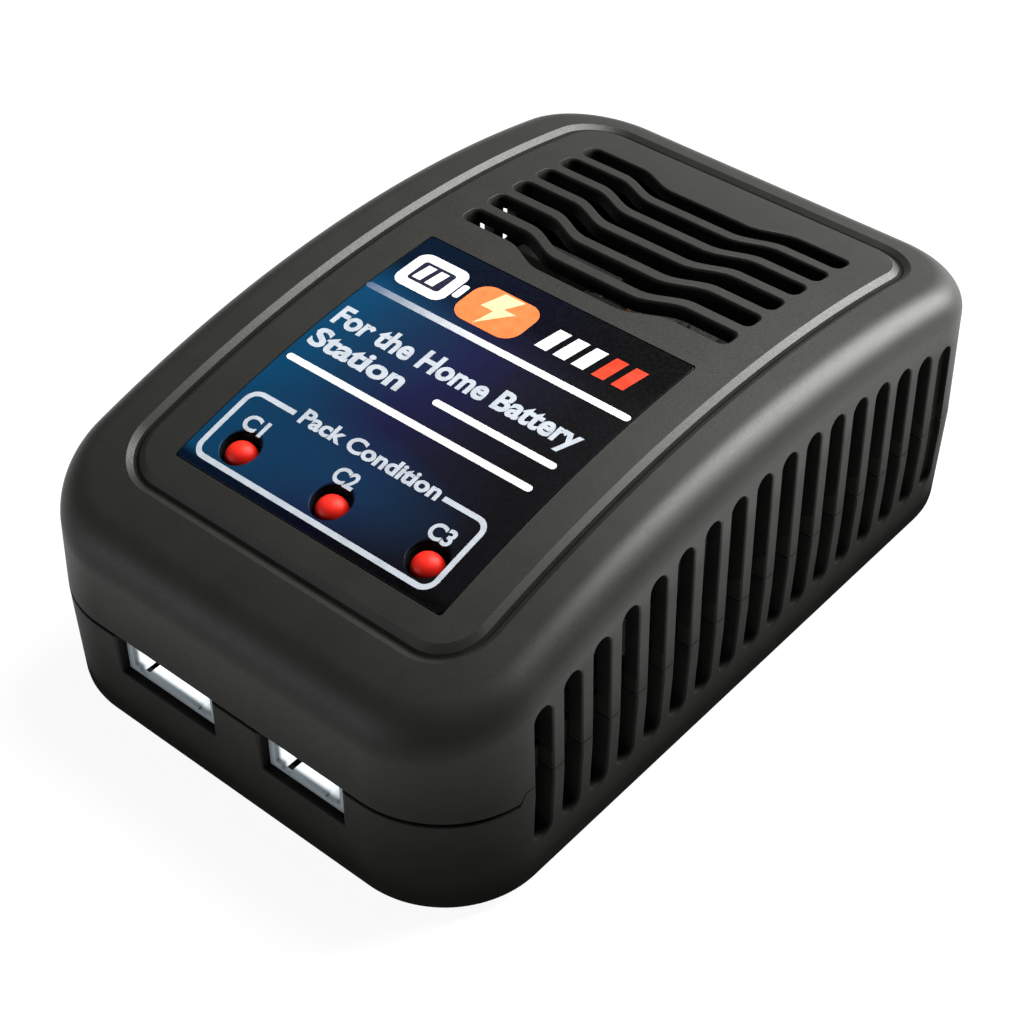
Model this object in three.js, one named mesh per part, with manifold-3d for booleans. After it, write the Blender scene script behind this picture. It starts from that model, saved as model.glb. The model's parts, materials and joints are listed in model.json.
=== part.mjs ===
// Balance battery charger: an arched two-shell plastic case with vented sides and top, an overlay
// label with three indicator lamps, two white balance sockets at the front, a figure-8 mains inlet
// at the back, and a mains power supply and cell-balancing circuit on one board inside.
// Millimetres. X is the width, the sockets face -Y, +Z is up, and the origin is on the surface that
// the feet stand on, under the middle of the case.

import * as THREE from "three";
import { mergeVertices } from "three/addons/utils/BufferGeometryUtils.js";
import Module from "manifold-3d";

const wasm = await Module();
wasm.setup();

// ---------------------------------------------------------------- driving dimensions

const GAP = 0.3;                    // clearance between touching pieces

// Case, measured from its own underside
const CASE_WIDTH = 58;
const CASE_LENGTH = 88.6;
const CASE_HEIGHT = 33;
const CORNER_RADIUS = 11.5;
const ARCH_RADIUS = 137;            // the roof is an arc along Y
const ARCH_TOP_Y = 7;               // where the arc is highest
const SHOULDER_RADIUS = 3.6;        // rounding between roof and walls
const EDGE_RADIUS = 1.6;            // rounding along the underside
const DRAFT = 0.3;                  // taper of the walls, above and below the parting line
const COVER_WALL = 1.6;
const CASE_WALL = 2.2;
const FLOOR = 2;

// Parting line: low across the front, one step higher along the sides
const PARTING_FRONT = 12.75;
const PARTING_SIDE = 14.05;
const PARTING_STEP_Y = -35.2;
const TONGUE_HEIGHT = 2.2;
const TONGUE_THICKNESS = 1.2;

// Groove round the top panel
const GROOVE_HALF_WIDTH = 21.8;
const GROOVE_FRONT = -36.1;
const GROOVE_BACK = 37.8;
const GROOVE_CORNER = 5;
const GROOVE_REACH = 1.25;          // half of its width
const GROOVE_DEPTH = 0.75;

// Slots
const SIDE_SLOTS = 16;
const SIDE_SLOT_PITCH = 4.08;
const SIDE_SLOT_FIRST_Y = -32.1;
const SIDE_SLOT_WIDTH = 2.4;
const SIDE_SLOT_BOTTOM = 5.9;
const SIDE_SLOT_ARCH = { radius: 118, y: 3, z: 28.4 };
const BLIND_SLOT_DEPTH = 0.8;
const ROOF_SLOTS = 6;
const ROOF_SLOT_PITCH = 4;
const ROOF_SLOT_FIRST_Y = 10.5;
const ROOF_SLOT_WIDTH = 2.2;
const ROOF_SLOT_HALF = 17.3;
const ROOF_SLOT_BEND = { from: 5, to: 10.6, shift: -2 };

// Label and lamps
const LABEL = { halfWidth: 17, front: -32.4, back: 4.6, thickness: 0.25, recess: 0.5 };
const LAMP = { y: -28.5, pitch: 12, radius: 1.7, proud: 0.3, length: 5.3, hole: 2.1 };
const LAMP_FLANGE = { radius: 2, thickness: 1 };
const LAMP_LEG = { offset: 1.27, half: 0.25 };

// Circuit board
const BOARD = { halfWidth: 24.6, front: -39.6, back: 39.6, bottom: 6.45, thickness: 1.6, notch: 12 };
const BOARD_TOP = BOARD.bottom + BOARD.thickness;
const SEAT = BOARD_TOP + GAP;       // underside of the parts on the board

// Balance sockets: 2.5 mm pitch side-entry headers
const SOCKET = { pitch: 2.5, ends: 4.9, height: 5.75, depth: 10.4, wall: 0.8, back: 2.4, face: -43.4 };
const SOCKET_KEY = { inset: 2.7, reach: 0.7, length: 5 };
const SOCKET_PIN = { side: 0.64, tip: 1.2, tail: 1.6 };
const THREE_CELL_X = -8.3;
const TWO_CELL_X = 9.9;
const WINDOW_SILL = 8;

// Mains inlet
const INLET = { width: 20, height: 12.6, depth: 15.4, recess: 11, lobe: 4.1, lobeOffset: 4.3, waist: 2.8 };
const INLET_Z = 15.2;
const INLET_PIN = { radius: 1.2, length: 13.6, taper: 1 };

// Fixings and feet
const POST = { x: 22.2, y: 37.4, radius: 3.2, bore: 1.7, headBore: 2.9, headDepth: 4.2 };
const SCREW = { head: 2.5, headHeight: 1.9, ease: 0.5, shank: 1.15, pilot: 1.5 };
const CROSS_RECESS = { wing: 1.2, half: 0.3, depth: 0.9 };
const CASE_SCREW_LENGTH = 13;
const SINK_SCREW_LENGTH = 7;
const FOOT = { x: 19.5, y: 27.5, radius: 4, stand: 0.6, recess: 0.4 };

// Parts on the board: half sizes where a name says so, heights above the board
const BOARD_REST = { x: 21.6, y: 12, radius: 2 };
const CORE = { halfWidth: 10.5, halfLength: 3.2, height: 17.5, yoke: 3, windowMiddle: 5.9, windowHalf: 2.9 };
const BOBBIN = { innerX: 3.3, innerY: 3.5, wall: 0.8, flangeX: 8.3, flangeY: 8.2, bottom: 3.4, top: 14.1 };
const CHOKE = { halfWidth: 6.5, halfLength: 1.8, height: 13, gapHalf: 3.1, gapLow: 3.4, gapHigh: 9.6 };
const COIL = { inner: 2.75, outer: 4.3, low: 3.8, high: 9.2 };
const TRANSISTOR = { halfWidth: 5, halfLength: 2.2, height: 9, tab: 1.2, tabTop: 15, holeZ: 12, hole: 1.8 };
const SINK = { halfWidth: 9, plate: 1.5, height: 17, ribDepth: 4, ribHalf: 0.6, ribPitch: 5 };
const BULK_CAN = { radius: 6.2, height: 20 };
const OUTPUT_CAN = { radius: 4, height: 12 };
const DISC = { radius: 4, thickness: 3 };
const DRUM = { radius: 4, waist: 3.3, flange: 1, height: 7.5 };
const DIODE = { radius: 2.6, halfLength: 4.7 };
const FILTER_BOX = { width: 13, length: 6, height: 11, chamfer: 0.8 };
const FUSE_BOX = { width: 8, length: 4, height: 8, chamfer: 0.5 };
const RECTIFIER_BOX = { width: 8.5, length: 6.5, height: 3.4, chamfer: 0.5 };
const OPTO_BOX = { width: 4.6, length: 6.5, height: 3.4, chamfer: 0.4 };
const CHIP_BOX = { width: 7.5, length: 5.3, height: 1.7, chamfer: 0.3 };
const BALANCE_TRANSISTOR_BOX = { width: 6.5, length: 6.1, height: 2.3, chamfer: 0.3 };
const BALANCE_RESISTOR_BOX = { width: 3.2, length: 6.3, height: 0.7, chamfer: 0.1 };

// Where they stand on the board
const TRANSFORMER_AT = [-10, 3];
const CHOKE_AT = [-13.5, 23];
const COIL_OFFSET = 4.8;
const BULK_CAN_AT = [14.5, 1.5];
const FILTER_AT = [3.5, 23.5];
const FUSE_AT = [16.5, 25.5];
const RECTIFIER_AT = [18.5, 18];
const TRANSISTOR_AT = [3.5, 12];
const SAFETY_DISC_AT = [2.8, -6.5];
const OPTO_AT = [11, -9];
const DIODE_AT = [-20.5, -11];
const OUTPUT_CANS_AT = [[-13, -12], [-4, -13.5]];
const DRUM_AT = [19, -11];
const CHIP_AT = [-1.8, -21];
const BALANCE_TRANSISTOR_FROM_LAMP = [-5.5, 1.2];
const BALANCE_RESISTOR_FROM_LAMP = [3.9, 8.1];

// Fineness of the round stretches
const CORNER_STEPS = 6;
const SHOULDER_STEPS = 4;
const ARCH_STEPS = 12;
const EDGE_STEPS = 3;
const SLOT_END_STEPS = 3;
const DOME_STEPS = 4;
const ROUND = 16;

// ---------------------------------------------------------------- materials

const material = (color, roughness, metalness = 0) =>
  new THREE.MeshStandardMaterial({ color, roughness, metalness });

const casePlastic = () => material(0x2a2a28, 0.5);
const labelPrint = () => material(0x12305e, 0.4);
const redLens = () => material(0xe02418, 0.25);
const socketPlastic = () => material(0xe9ebe8, 0.45);
const tinnedPin = () => material(0xb9b6ae, 0.3, 1);
const boardGreen = () => material(0x1d5a36, 0.55);
const blackPart = () => material(0x151515, 0.5);
const ferrite = () => material(0x35322f, 0.7);
const copperCoil = () => material(0xa8602c, 0.4, 0.8);
const yellowTape = () => material(0xc9a23a, 0.5);
const blueSleeve = () => material(0x24427a, 0.4);
const aluminium = () => material(0xa9abad, 0.4, 1);
const zincSteel = () => material(0x8b8c8c, 0.35, 1);
const rubber = () => material(0x1b1b1b, 0.9);
const greyBox = () => material(0x8d8f8c, 0.6);

// ---------------------------------------------------------------- solids

// A closed geometry as a solid that can be joined and cut
function solid(geometry) {
  const bare = geometry.clone();
  bare.deleteAttribute("normal");
  bare.deleteAttribute("uv");
  const merged = mergeVertices(bare, 1e-5);
  const triVerts = new Uint32Array(merged.index.array);
  const vertProperties = new Float32Array(merged.attributes.position.array);
  return new wasm.Manifold(new wasm.Mesh({ numProp: 3, vertProperties, triVerts }));
}

function geometryOf(body) {
  const mesh = body.getMesh();
  const geometry = new THREE.BufferGeometry();
  geometry.setAttribute("position", new THREE.BufferAttribute(mesh.vertProperties, 3));
  geometry.setIndex(new THREE.BufferAttribute(mesh.triVerts, 1));
  return geometry;
}

const cut = (body, ...tools) => tools.reduce((left, tool) => left.subtract(tool), body);
const join = (body, ...others) => others.reduce((sum, other) => sum.add(other), body);

// A box between two corners
function block([x0, y0, z0], [x1, y1, z1]) {
  const geometry = new THREE.BoxGeometry(x1 - x0, y1 - y0, z1 - z0);
  return geometry.translate((x0 + x1) / 2, (y0 + y1) / 2, (z0 + z1) / 2);
}

// A round bar on Z, from z0 to z1
function bar(x, y, radius, z0, z1, sides = ROUND) {
  const geometry = new THREE.CylinderGeometry(radius, radius, z1 - z0, sides);
  return geometry.rotateX(Math.PI / 2).translate(x, y, (z0 + z1) / 2);
}

// A turned shape on Z from a profile of [radius, z] points that starts and ends on the axis, or
// that comes back to its first point off the axis and makes a ring
function turned(profile, sides = ROUND) {
  const points = profile.map(([radius, z]) => new THREE.Vector2(radius, z));
  return new THREE.LatheGeometry(points, sides).rotateX(Math.PI / 2);
}

const extruded = (shape, depth) => new THREE.ExtrudeGeometry(shape, { depth, bevelEnabled: false });

// A shape drawn in Y and Z, pushed along X from x0 to x1
function alongX(shape, x0, x1) {
  const turn = new THREE.Matrix4().set(0, 0, 1, x0, 1, 0, 0, 0, 0, 1, 0, 0, 0, 0, 0, 1);
  return extruded(shape, x1 - x0).applyMatrix4(turn);
}

// A shape drawn in X and Z, pushed along Y from y0 to y1
function alongY(shape, y0, y1) {
  const turn = new THREE.Matrix4().set(1, 0, 0, 0, 0, 0, -1, y1, 0, 1, 0, 0, 0, 0, 0, 1);
  return extruded(shape, y1 - y0).applyMatrix4(turn);
}

// ---------------------------------------------------------------- the arched case form

const roof = (y) => CASE_HEIGHT - ARCH_RADIUS + Math.sqrt(ARCH_RADIUS ** 2 - (y - ARCH_TOP_Y) ** 2);

// The right-hand half of a rounded rectangle, from its front edge round to its back edge
function halfOutline(halfWidth, front, back, radius, straightSteps) {
  const points = [];
  for (let i = 0; i <= CORNER_STEPS; i += 1) {
    const angle = (i / CORNER_STEPS - 1) * (Math.PI / 2);
    points.push([halfWidth - radius + radius * Math.cos(angle), front + radius + radius * Math.sin(angle)]);
  }
  for (let i = 1; i < straightSteps; i += 1) {
    const y = THREE.MathUtils.lerp(front + radius, back - radius, i / straightSteps);
    points.push([halfWidth, y]);
  }
  for (let i = 0; i <= CORNER_STEPS; i += 1) {
    const angle = (i / CORNER_STEPS) * (Math.PI / 2);
    points.push([halfWidth - radius + radius * Math.cos(angle), back - radius + radius * Math.sin(angle)]);
  }
  return points;
}

// The whole outline, anticlockwise seen from above
function wholeOutline(half) {
  const mirrored = half.map(([x, y]) => [-x, y]).reverse();
  return [...half, ...mirrored];
}

// A form built up from stacked rings of equal count; its ends are closed by strips that run
// across from each point to its mirror image, or the last ring joins the first again
function stacked(rings, closesOnItself = false) {
  const count = rings[0].length;
  const positions = rings.flat(2);
  const triangles = [];
  const turns = closesOnItself ? rings.length : rings.length - 1;
  for (let i = 0; i < turns; i += 1) {
    const lower = i * count;
    const upper = ((i + 1) % rings.length) * count;
    for (let j = 0; j < count; j += 1) {
      const next = (j + 1) % count;
      triangles.push(lower + j, lower + next, upper + next, lower + j, upper + next, upper + j);
    }
  }
  if (!closesOnItself) {
    const top = (rings.length - 1) * count;
    for (let k = 0; k < count / 2 - 1; k += 1) {
      const across = count - 1 - k;
      triangles.push(top + k, top + k + 1, top + across - 1, top + k, top + across - 1, top + across);
      triangles.push(k, across - 1, k + 1, k, across, across - 1);
    }
  }
  const geometry = new THREE.BufferGeometry();
  geometry.setAttribute("position", new THREE.Float32BufferAttribute(positions, 3));
  geometry.setIndex(triangles);
  return geometry;
}

// One ring of the case form, set in from the widest outline; below the roof by a drop, or at a height
function caseRing(inset, height) {
  const halfLength = CASE_LENGTH / 2 - inset;
  const radius = CORNER_RADIUS - inset;
  const half = halfOutline(CASE_WIDTH / 2 - inset, -halfLength, halfLength, radius, ARCH_STEPS);
  return wholeOutline(half).map(([x, y]) => [x, y, height(y)]);
}

const level = (z) => () => z;
const below = (drop) => (y) => roof(y) - drop;

// The case form, thinned by a wall all round, from a floor height upwards
function caseForm(wall, floor, edge) {
  const rings = [];
  for (let i = edge ? 0 : EDGE_STEPS; i <= EDGE_STEPS; i += 1) {
    const angle = (i / EDGE_STEPS) * (Math.PI / 2);
    const inset = wall + DRAFT + edge * (1 - Math.sin(angle));
    rings.push(caseRing(inset, level(floor + edge * (1 - Math.cos(angle)))));
  }
  rings.push(caseRing(wall, level(PARTING_FRONT)));
  const radius = SHOULDER_RADIUS - wall;
  for (let i = 0; i <= SHOULDER_STEPS; i += 1) {
    const angle = (i / SHOULDER_STEPS) * (Math.PI / 2);
    const inset = wall + DRAFT + radius * (1 - Math.cos(angle));
    rings.push(caseRing(inset, below(wall + radius * (1 - Math.sin(angle)))));
  }
  return solid(stacked(rings));
}

// Everything under the stepped parting line, raised by a clearance
function underParting(raise) {
  const reach = CASE_LENGTH;
  const shape = new THREE.Shape();
  shape.moveTo(-reach, -5);
  shape.lineTo(reach, -5);
  shape.lineTo(reach, PARTING_SIDE + raise);
  shape.lineTo(PARTING_STEP_Y + 0.6 - raise, PARTING_SIDE + raise);
  shape.lineTo(PARTING_STEP_Y - raise, PARTING_FRONT + raise);
  shape.lineTo(-reach, PARTING_FRONT + raise);
  shape.closePath();
  return solid(alongX(shape, -CASE_WIDTH, CASE_WIDTH));
}

// ---------------------------------------------------------------- cutting tools for the shells

// A V-groove round the top panel, following the arch
function panelGroove() {
  const lip = GAP;
  const spread = GROOVE_REACH * (1 + lip / GROOVE_DEPTH);
  const ring = (offset, drop) => {
    const half = halfOutline(
      GROOVE_HALF_WIDTH + offset,
      GROOVE_FRONT - offset,
      GROOVE_BACK + offset,
      GROOVE_CORNER + offset,
      ARCH_STEPS,
    );
    return wholeOutline(half).map(([x, y]) => [x, y, roof(y) - drop]);
  };
  return solid(stacked([ring(0, GROOVE_DEPTH), ring(spread, -lip), ring(-spread, -lip)], true));
}

const sideSlotY = (index) => SIDE_SLOT_FIRST_Y + index * SIDE_SLOT_PITCH;

function sideSlotTop(y) {
  const { radius, y: middle, z } = SIDE_SLOT_ARCH;
  return z - radius + Math.sqrt(radius ** 2 - (y - middle) ** 2);
}

// One upright slot with round ends through the right wall, from x0 outwards
function sideSlot(y, x0) {
  const half = SIDE_SLOT_WIDTH / 2;
  const shape = new THREE.Shape();
  shape.absarc(y, sideSlotTop(y) - half, half, 0, Math.PI);
  shape.absarc(y, SIDE_SLOT_BOTTOM + half, half, Math.PI, 2 * Math.PI);
  const outline = new THREE.Shape(shape.getPoints(SLOT_END_STEPS));
  return solid(alongX(outline, x0, CASE_WIDTH / 2 + 2));
}

// All the side slots, right and mirrored left, with the blind one at the rear end of each row
function sideSlots() {
  const tools = [];
  for (let i = 0; i < SIDE_SLOTS; i += 1) {
    tools.push(sideSlot(sideSlotY(i), CASE_WIDTH / 2 - CASE_WALL - 1));
  }
  tools.push(sideSlot(sideSlotY(SIDE_SLOTS), CASE_WIDTH / 2 - BLIND_SLOT_DEPTH));
  return [...tools, ...tools.map((tool) => tool.mirror([1, 0, 0]))];
}

// How far a roof slot is set forward at x: full in the middle, none near its ends
function roofSlotShift(x) {
  const { from, to, shift } = ROOF_SLOT_BEND;
  return shift * (1 - THREE.MathUtils.smoothstep(Math.abs(x), from, to));
}

// One wavy slot across the roof behind the label
function roofSlot(y) {
  const half = ROOF_SLOT_WIDTH / 2;
  const { from, to } = ROOF_SLOT_BEND;
  const bend = [0, 0.25, 0.5, 0.75, 1].map((t) => THREE.MathUtils.lerp(from, to, t));
  const right = [...bend, ROOF_SLOT_HALF - half];
  const xs = [...right.map((x) => -x).reverse(), ...right];
  const shape = new THREE.Shape();
  shape.moveTo(-ROOF_SLOT_HALF, y);
  xs.forEach((x) => shape.lineTo(x, y + roofSlotShift(x) - half));
  shape.lineTo(ROOF_SLOT_HALF, y);
  [...xs].reverse().forEach((x) => shape.lineTo(x, y + roofSlotShift(x) + half));
  shape.closePath();
  return solid(extruded(shape, CASE_HEIGHT).translate(0, 0, PARTING_SIDE + 6));
}

function roofSlots() {
  const tools = [];
  for (let i = 0; i < ROOF_SLOTS; i += 1) {
    tools.push(roofSlot(ROOF_SLOT_FIRST_Y + i * ROOF_SLOT_PITCH));
  }
  return tools;
}

// A thin sheet bent to the arch over the label area, from one height above the roof to another
function labelSheet(grow, low, high) {
  const width = 2 * (LABEL.halfWidth + grow);
  const length = LABEL.back - LABEL.front + 2 * grow;
  const geometry = new THREE.BoxGeometry(width, length, high - low, 1, ARCH_STEPS, 1);
  geometry.translate(0, (LABEL.front + LABEL.back) / 2, (low + high) / 2);
  const positions = geometry.attributes.position;
  for (let i = 0; i < positions.count; i += 1) {
    positions.setZ(i, positions.getZ(i) + roof(positions.getY(i)));
  }
  return solid(geometry);
}

const lampXs = [-LAMP.pitch, 0, LAMP.pitch];
const lampHoles = () => lampXs.map((x) => solid(bar(x, LAMP.y, LAMP.hole, BOARD_TOP, CASE_HEIGHT)));

const corners = (x, y) => [[-x, -y], [x, -y], [-x, y], [x, y]];
const socketWidth = (ways) => (ways - 1) * SOCKET.pitch + SOCKET.ends;

// The opening in the front wall for one balance socket
function socketWindow(x, ways) {
  const half = socketWidth(ways) / 2 + GAP;
  const outside = -CASE_LENGTH / 2 - 1;
  return solid(block([x - half, outside, WINDOW_SILL], [x + half, -CASE_LENGTH / 2 + 4, PARTING_FRONT + 1]));
}

// The pocket inside the cover's front wall that clears the top of one socket
function socketPocket(x, ways) {
  const half = socketWidth(ways) / 2 + GAP;
  const top = SEAT + SOCKET.height + GAP;
  return solid(block([x - half, SOCKET.face - GAP, WINDOW_SILL], [x + half, SOCKET.face + 4, top]));
}

function inletOpening() {
  const half = INLET.width / 2 + GAP;
  const rise = INLET.height / 2 + GAP;
  const back = CASE_LENGTH / 2;
  return solid(block([-half, back - 4, INLET_Z - rise], [half, back + 1, INLET_Z + rise]));
}

// ---------------------------------------------------------------- shells

function topCover() {
  const outer = caseForm(0, 0, EDGE_RADIUS);
  const shell = outer.subtract(caseForm(COVER_WALL, FLOOR, 0));
  const boreTop = POST.headDepth + CASE_SCREW_LENGTH + GAP;
  const posts = corners(POST.x, POST.y).map(([x, y]) => {
    const post = solid(bar(x, y, POST.radius, PARTING_SIDE, CASE_HEIGHT)).intersect(outer);
    return post.subtract(solid(bar(x, y, SCREW.pilot, PARTING_SIDE - 1, boreTop)));
  });
  return cut(
    join(shell, ...posts),
    underParting(GAP),
    panelGroove(),
    labelSheet(GAP, -LABEL.recess, 2),
    ...lampHoles(),
    ...sideSlots(),
    ...roofSlots(),
    socketPocket(THREE_CELL_X, 4),
    socketPocket(TWO_CELL_X, 3),
    inletOpening(),
  );
}

// The lip that stands up inside the cover along one side of the bottom case
function tongue() {
  const outer = CASE_WIDTH / 2 - COVER_WALL - GAP;
  const low = PARTING_SIDE - 1;
  const reach = -sideSlotY(0) - 0.5;
  return solid(block([outer - TONGUE_THICKNESS, -reach, low], [outer, reach, PARTING_SIDE + TONGUE_HEIGHT]));
}

function bottomCase() {
  const shell = caseForm(0, 0, EDGE_RADIUS).subtract(caseForm(CASE_WALL, FLOOR, 0));
  const posts = corners(POST.x, POST.y).map(([x, y]) => {
    return solid(bar(x, y, POST.radius, FLOOR - 0.5, PARTING_FRONT - 0.5));
  });
  const boardRests = corners(BOARD_REST.x, BOARD_REST.y).map(([x, y]) => {
    return solid(bar(x, y, BOARD_REST.radius, FLOOR - 0.5, BOARD.bottom - GAP));
  });
  const slotted = cut(
    join(shell, ...posts, ...boardRests).intersect(underParting(0)),
    ...sideSlots(),
    socketWindow(THREE_CELL_X, 4),
    socketWindow(TWO_CELL_X, 3),
    inletOpening(),
  );
  const screwHoles = corners(POST.x, POST.y).flatMap(([x, y]) => [
    solid(bar(x, y, POST.bore, -1, CASE_HEIGHT)),
    solid(bar(x, y, POST.headBore, -1, POST.headDepth)),
  ]);
  const footRecesses = corners(FOOT.x, FOOT.y).map(([x, y]) => {
    return solid(bar(x, y, FOOT.radius + GAP, -1, FOOT.recess));
  });
  return cut(join(slotted, tongue(), tongue().mirror([1, 0, 0])), ...screwHoles, ...footRecesses);
}

const labelOverlay = () =>
  cut(labelSheet(0, GAP - LABEL.recess, GAP - LABEL.recess + LABEL.thickness), ...lampHoles());

// ---------------------------------------------------------------- lamps, sockets, inlet, fixings

// A domed lamp with its flange and two legs down to the board
function lamp(x) {
  const tip = roof(LAMP.y) + LAMP.proud;
  const base = tip - LAMP.length;
  const ledge = base + LAMP_FLANGE.thickness;
  const profile = [[0, base], [LAMP_FLANGE.radius, base], [LAMP_FLANGE.radius, ledge], [LAMP.radius, ledge]];
  for (let i = 0; i < DOME_STEPS; i += 1) {
    const angle = (i / DOME_STEPS) * (Math.PI / 2);
    profile.push([LAMP.radius * Math.cos(angle), tip - LAMP.radius * (1 - Math.sin(angle))]);
  }
  const lens = solid(turned([...profile, [0, tip]]));
  const { offset, half } = LAMP_LEG;
  const leg = (at) => solid(block([at - half, -half, SEAT], [at + half, half, base + half]));
  return join(lens, leg(-offset), leg(offset)).translate([x, LAMP.y, 0]);
}

const pinX = (ways, index) => (index - (ways - 1) / 2) * SOCKET.pitch;

// A white shroud open at the front, with key slots in its lower wall and a hole for each pin
function socketShroud(ways) {
  const half = socketWidth(ways) / 2;
  const { face, depth, wall, back, height } = SOCKET;
  const body = solid(block([-half, face, SEAT], [half, face + depth, SEAT + height]));
  const cavityBack = face + depth - back;
  const roofOfCavity = SEAT + height - wall;
  const cavity = block([wall - half, face - 1, SEAT + wall], [half - wall, cavityBack, roofOfCavity]);
  const { inset, reach: keyReach, length } = SOCKET_KEY;
  const keys = [inset - half, half - inset].map((x) => {
    return solid(block([x - keyReach, face - 1, SEAT - 1], [x + keyReach, face + length, SEAT + wall + 1]));
  });
  const middle = SEAT + height / 2;
  const reach = SOCKET_PIN.side / 2 + GAP;
  const holes = [];
  for (let i = 0; i < ways; i += 1) {
    const x = pinX(ways, i);
    const near = [x - reach, cavityBack - 1, middle - reach];
    const far = [x + reach, face + depth + 1, middle + reach];
    holes.push(solid(block(near, far)));
  }
  return cut(body, solid(cavity), ...keys, ...holes);
}

// A square pin that runs back out of the shroud and turns down to the board
function socketPin() {
  const half = SOCKET_PIN.side / 2;
  const middle = SEAT + SOCKET.height / 2;
  const tip = SOCKET.face + SOCKET_PIN.tip;
  const bend = SOCKET.face + SOCKET.depth + SOCKET_PIN.tail;
  const run = solid(block([-half, tip, middle - half], [half, bend, middle + half]));
  const drop = solid(block([-half, bend - 2 * half, SEAT], [half, bend, middle]));
  return run.add(drop);
}

// The figure-8 outline of the mains inlet's cavity
function figureEight() {
  const { lobe, lobeOffset, waist, recess } = INLET;
  const depth = recess + 1;
  const circle = (x) => new THREE.Shape().absarc(x, INLET_Z, lobe, 0, 2 * Math.PI);
  const round = (x) => solid(alongY(circle(x), 0, depth));
  const bridge = solid(block([-lobeOffset, 0, INLET_Z - waist], [lobeOffset, depth, INLET_Z + waist]));
  return join(round(-lobeOffset), round(lobeOffset), bridge).translate([0, CASE_LENGTH / 2 - recess, 0]);
}

const inletPinXs = [-INLET.lobeOffset, INLET.lobeOffset];

function inletBody() {
  const half = INLET.width / 2;
  const rise = INLET.height / 2;
  const face = CASE_LENGTH / 2 - DRAFT;
  const body = block([-half, face - INLET.depth, INLET_Z - rise], [half, face, INLET_Z + rise]);
  const holes = inletPinXs.map((x) => {
    const hole = bar(x, 0, INLET_PIN.radius + GAP, 0, INLET.depth + 4);
    return solid(hole.rotateX(-Math.PI / 2).translate(0, face - INLET.depth - 2, INLET_Z));
  });
  return cut(solid(body), figureEight(), ...holes);
}

function inletPin(x) {
  const face = CASE_LENGTH / 2 - DRAFT;
  const { radius, length, taper } = INLET_PIN;
  const profile = [[0, 0], [radius, 0], [radius, length - taper], [radius - taper / 2, length], [0, length]];
  return solid(turned(profile).rotateX(-Math.PI / 2).translate(x, face - INLET.depth - 1, INLET_Z));
}

// A pan-head screw pointing up, with a cross recess in its head
function panScrew(length) {
  const { head, headHeight, ease, shank } = SCREW;
  const { wing, half, depth } = CROSS_RECESS;
  const profile = [[0, 0], [head - ease, 0], [head, ease], [head, headHeight], [shank, headHeight]];
  const body = solid(turned([...profile, [shank, length - 1], [0, length]]));
  const slot = solid(block([-wing, -half, -1], [wing, half, depth]));
  return cut(body, slot, slot.rotate([0, 0, 90]));
}

const foot = () => {
  const { radius, stand, recess } = FOOT;
  const top = recess - GAP;
  return solid(turned([[0, -stand], [radius - 0.5, -stand], [radius, 0.5 - stand], [radius, top], [0, top]]));
};

// ---------------------------------------------------------------- parts on the board

// The board, with its corners cut away round the screw posts
function mainBoard() {
  const { halfWidth, front, back, bottom, notch } = BOARD;
  const board = solid(block([-halfWidth, front, bottom], [halfWidth, back, BOARD_TOP]));
  const half = notch / 2;
  const notches = corners(halfWidth, back).map(([x, y]) => {
    return solid(block([x - half, y - half, 0], [x + half, y + half, CASE_HEIGHT]));
  });
  return cut(board, ...notches);
}

// An E-core pair: a rectangular frame with a middle leg
function transformerCore() {
  const { halfWidth, halfLength, height, yoke, windowMiddle, windowHalf } = CORE;
  const body = solid(block([-halfWidth, -halfLength, 0], [halfWidth, halfLength, height]));
  const window = (x) =>
    solid(block([x - windowHalf, -halfLength - 1, yoke], [x + windowHalf, halfLength + 1, height - yoke]));
  return cut(body, window(-windowMiddle), window(windowMiddle));
}

// A rectangular tube on Z, from an inner half size to an outer one
function squareTube([innerX, innerY], [outerX, outerY], z0, z1) {
  const outer = solid(block([-outerX, -outerY, z0], [outerX, outerY, z1]));
  return outer.subtract(solid(block([-innerX, -innerY, z0 - 1], [innerX, innerY, z1 + 1])));
}

function transformerBobbin() {
  const { innerX, innerY, wall, flangeX, flangeY, bottom, top } = BOBBIN;
  const inner = [innerX, innerY];
  const sleeve = squareTube(inner, [innerX + wall, innerY + wall], bottom, top);
  const flange = (z) => squareTube(inner, [flangeX, flangeY], z, z + wall);
  return join(sleeve, flange(bottom), flange(top - wall));
}

function transformerWinding() {
  const { innerX, innerY, wall, flangeX, flangeY, bottom, top } = BOBBIN;
  const inner = [innerX + wall + GAP, innerY + wall + GAP];
  const outer = [flangeX - 2 * GAP, flangeY - 2 * GAP];
  return squareTube(inner, outer, bottom + wall + GAP, top - wall - GAP);
}

// A rectangular ferrite ring standing on edge
function chokeCore() {
  const { halfWidth, halfLength, height, gapHalf, gapLow, gapHigh } = CHOKE;
  const body = solid(block([-halfWidth, -halfLength, 0], [halfWidth, halfLength, height]));
  return body.subtract(solid(block([-gapHalf, -halfLength - 1, gapLow], [gapHalf, halfLength + 1, gapHigh])));
}

// One coil round an upright leg of the choke
function chokeCoil() {
  const { inner, outer, low, high } = COIL;
  return solid(turned([[inner, low], [outer, low], [outer, high], [inner, high], [inner, low]]));
}

// A can capacitor: a cylinder with eased ends and a rolled waist near its foot
function canCapacitor({ radius, height }) {
  const ease = 0.35;
  const waist = [[radius, 3 * ease], [radius - ease, 4 * ease], [radius, 5 * ease]];
  const top = [[radius, height - ease], [radius - ease, height], [0, height]];
  return solid(turned([[0, 0], [radius - ease, 0], [radius, ease], ...waist, ...top]));
}

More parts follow.
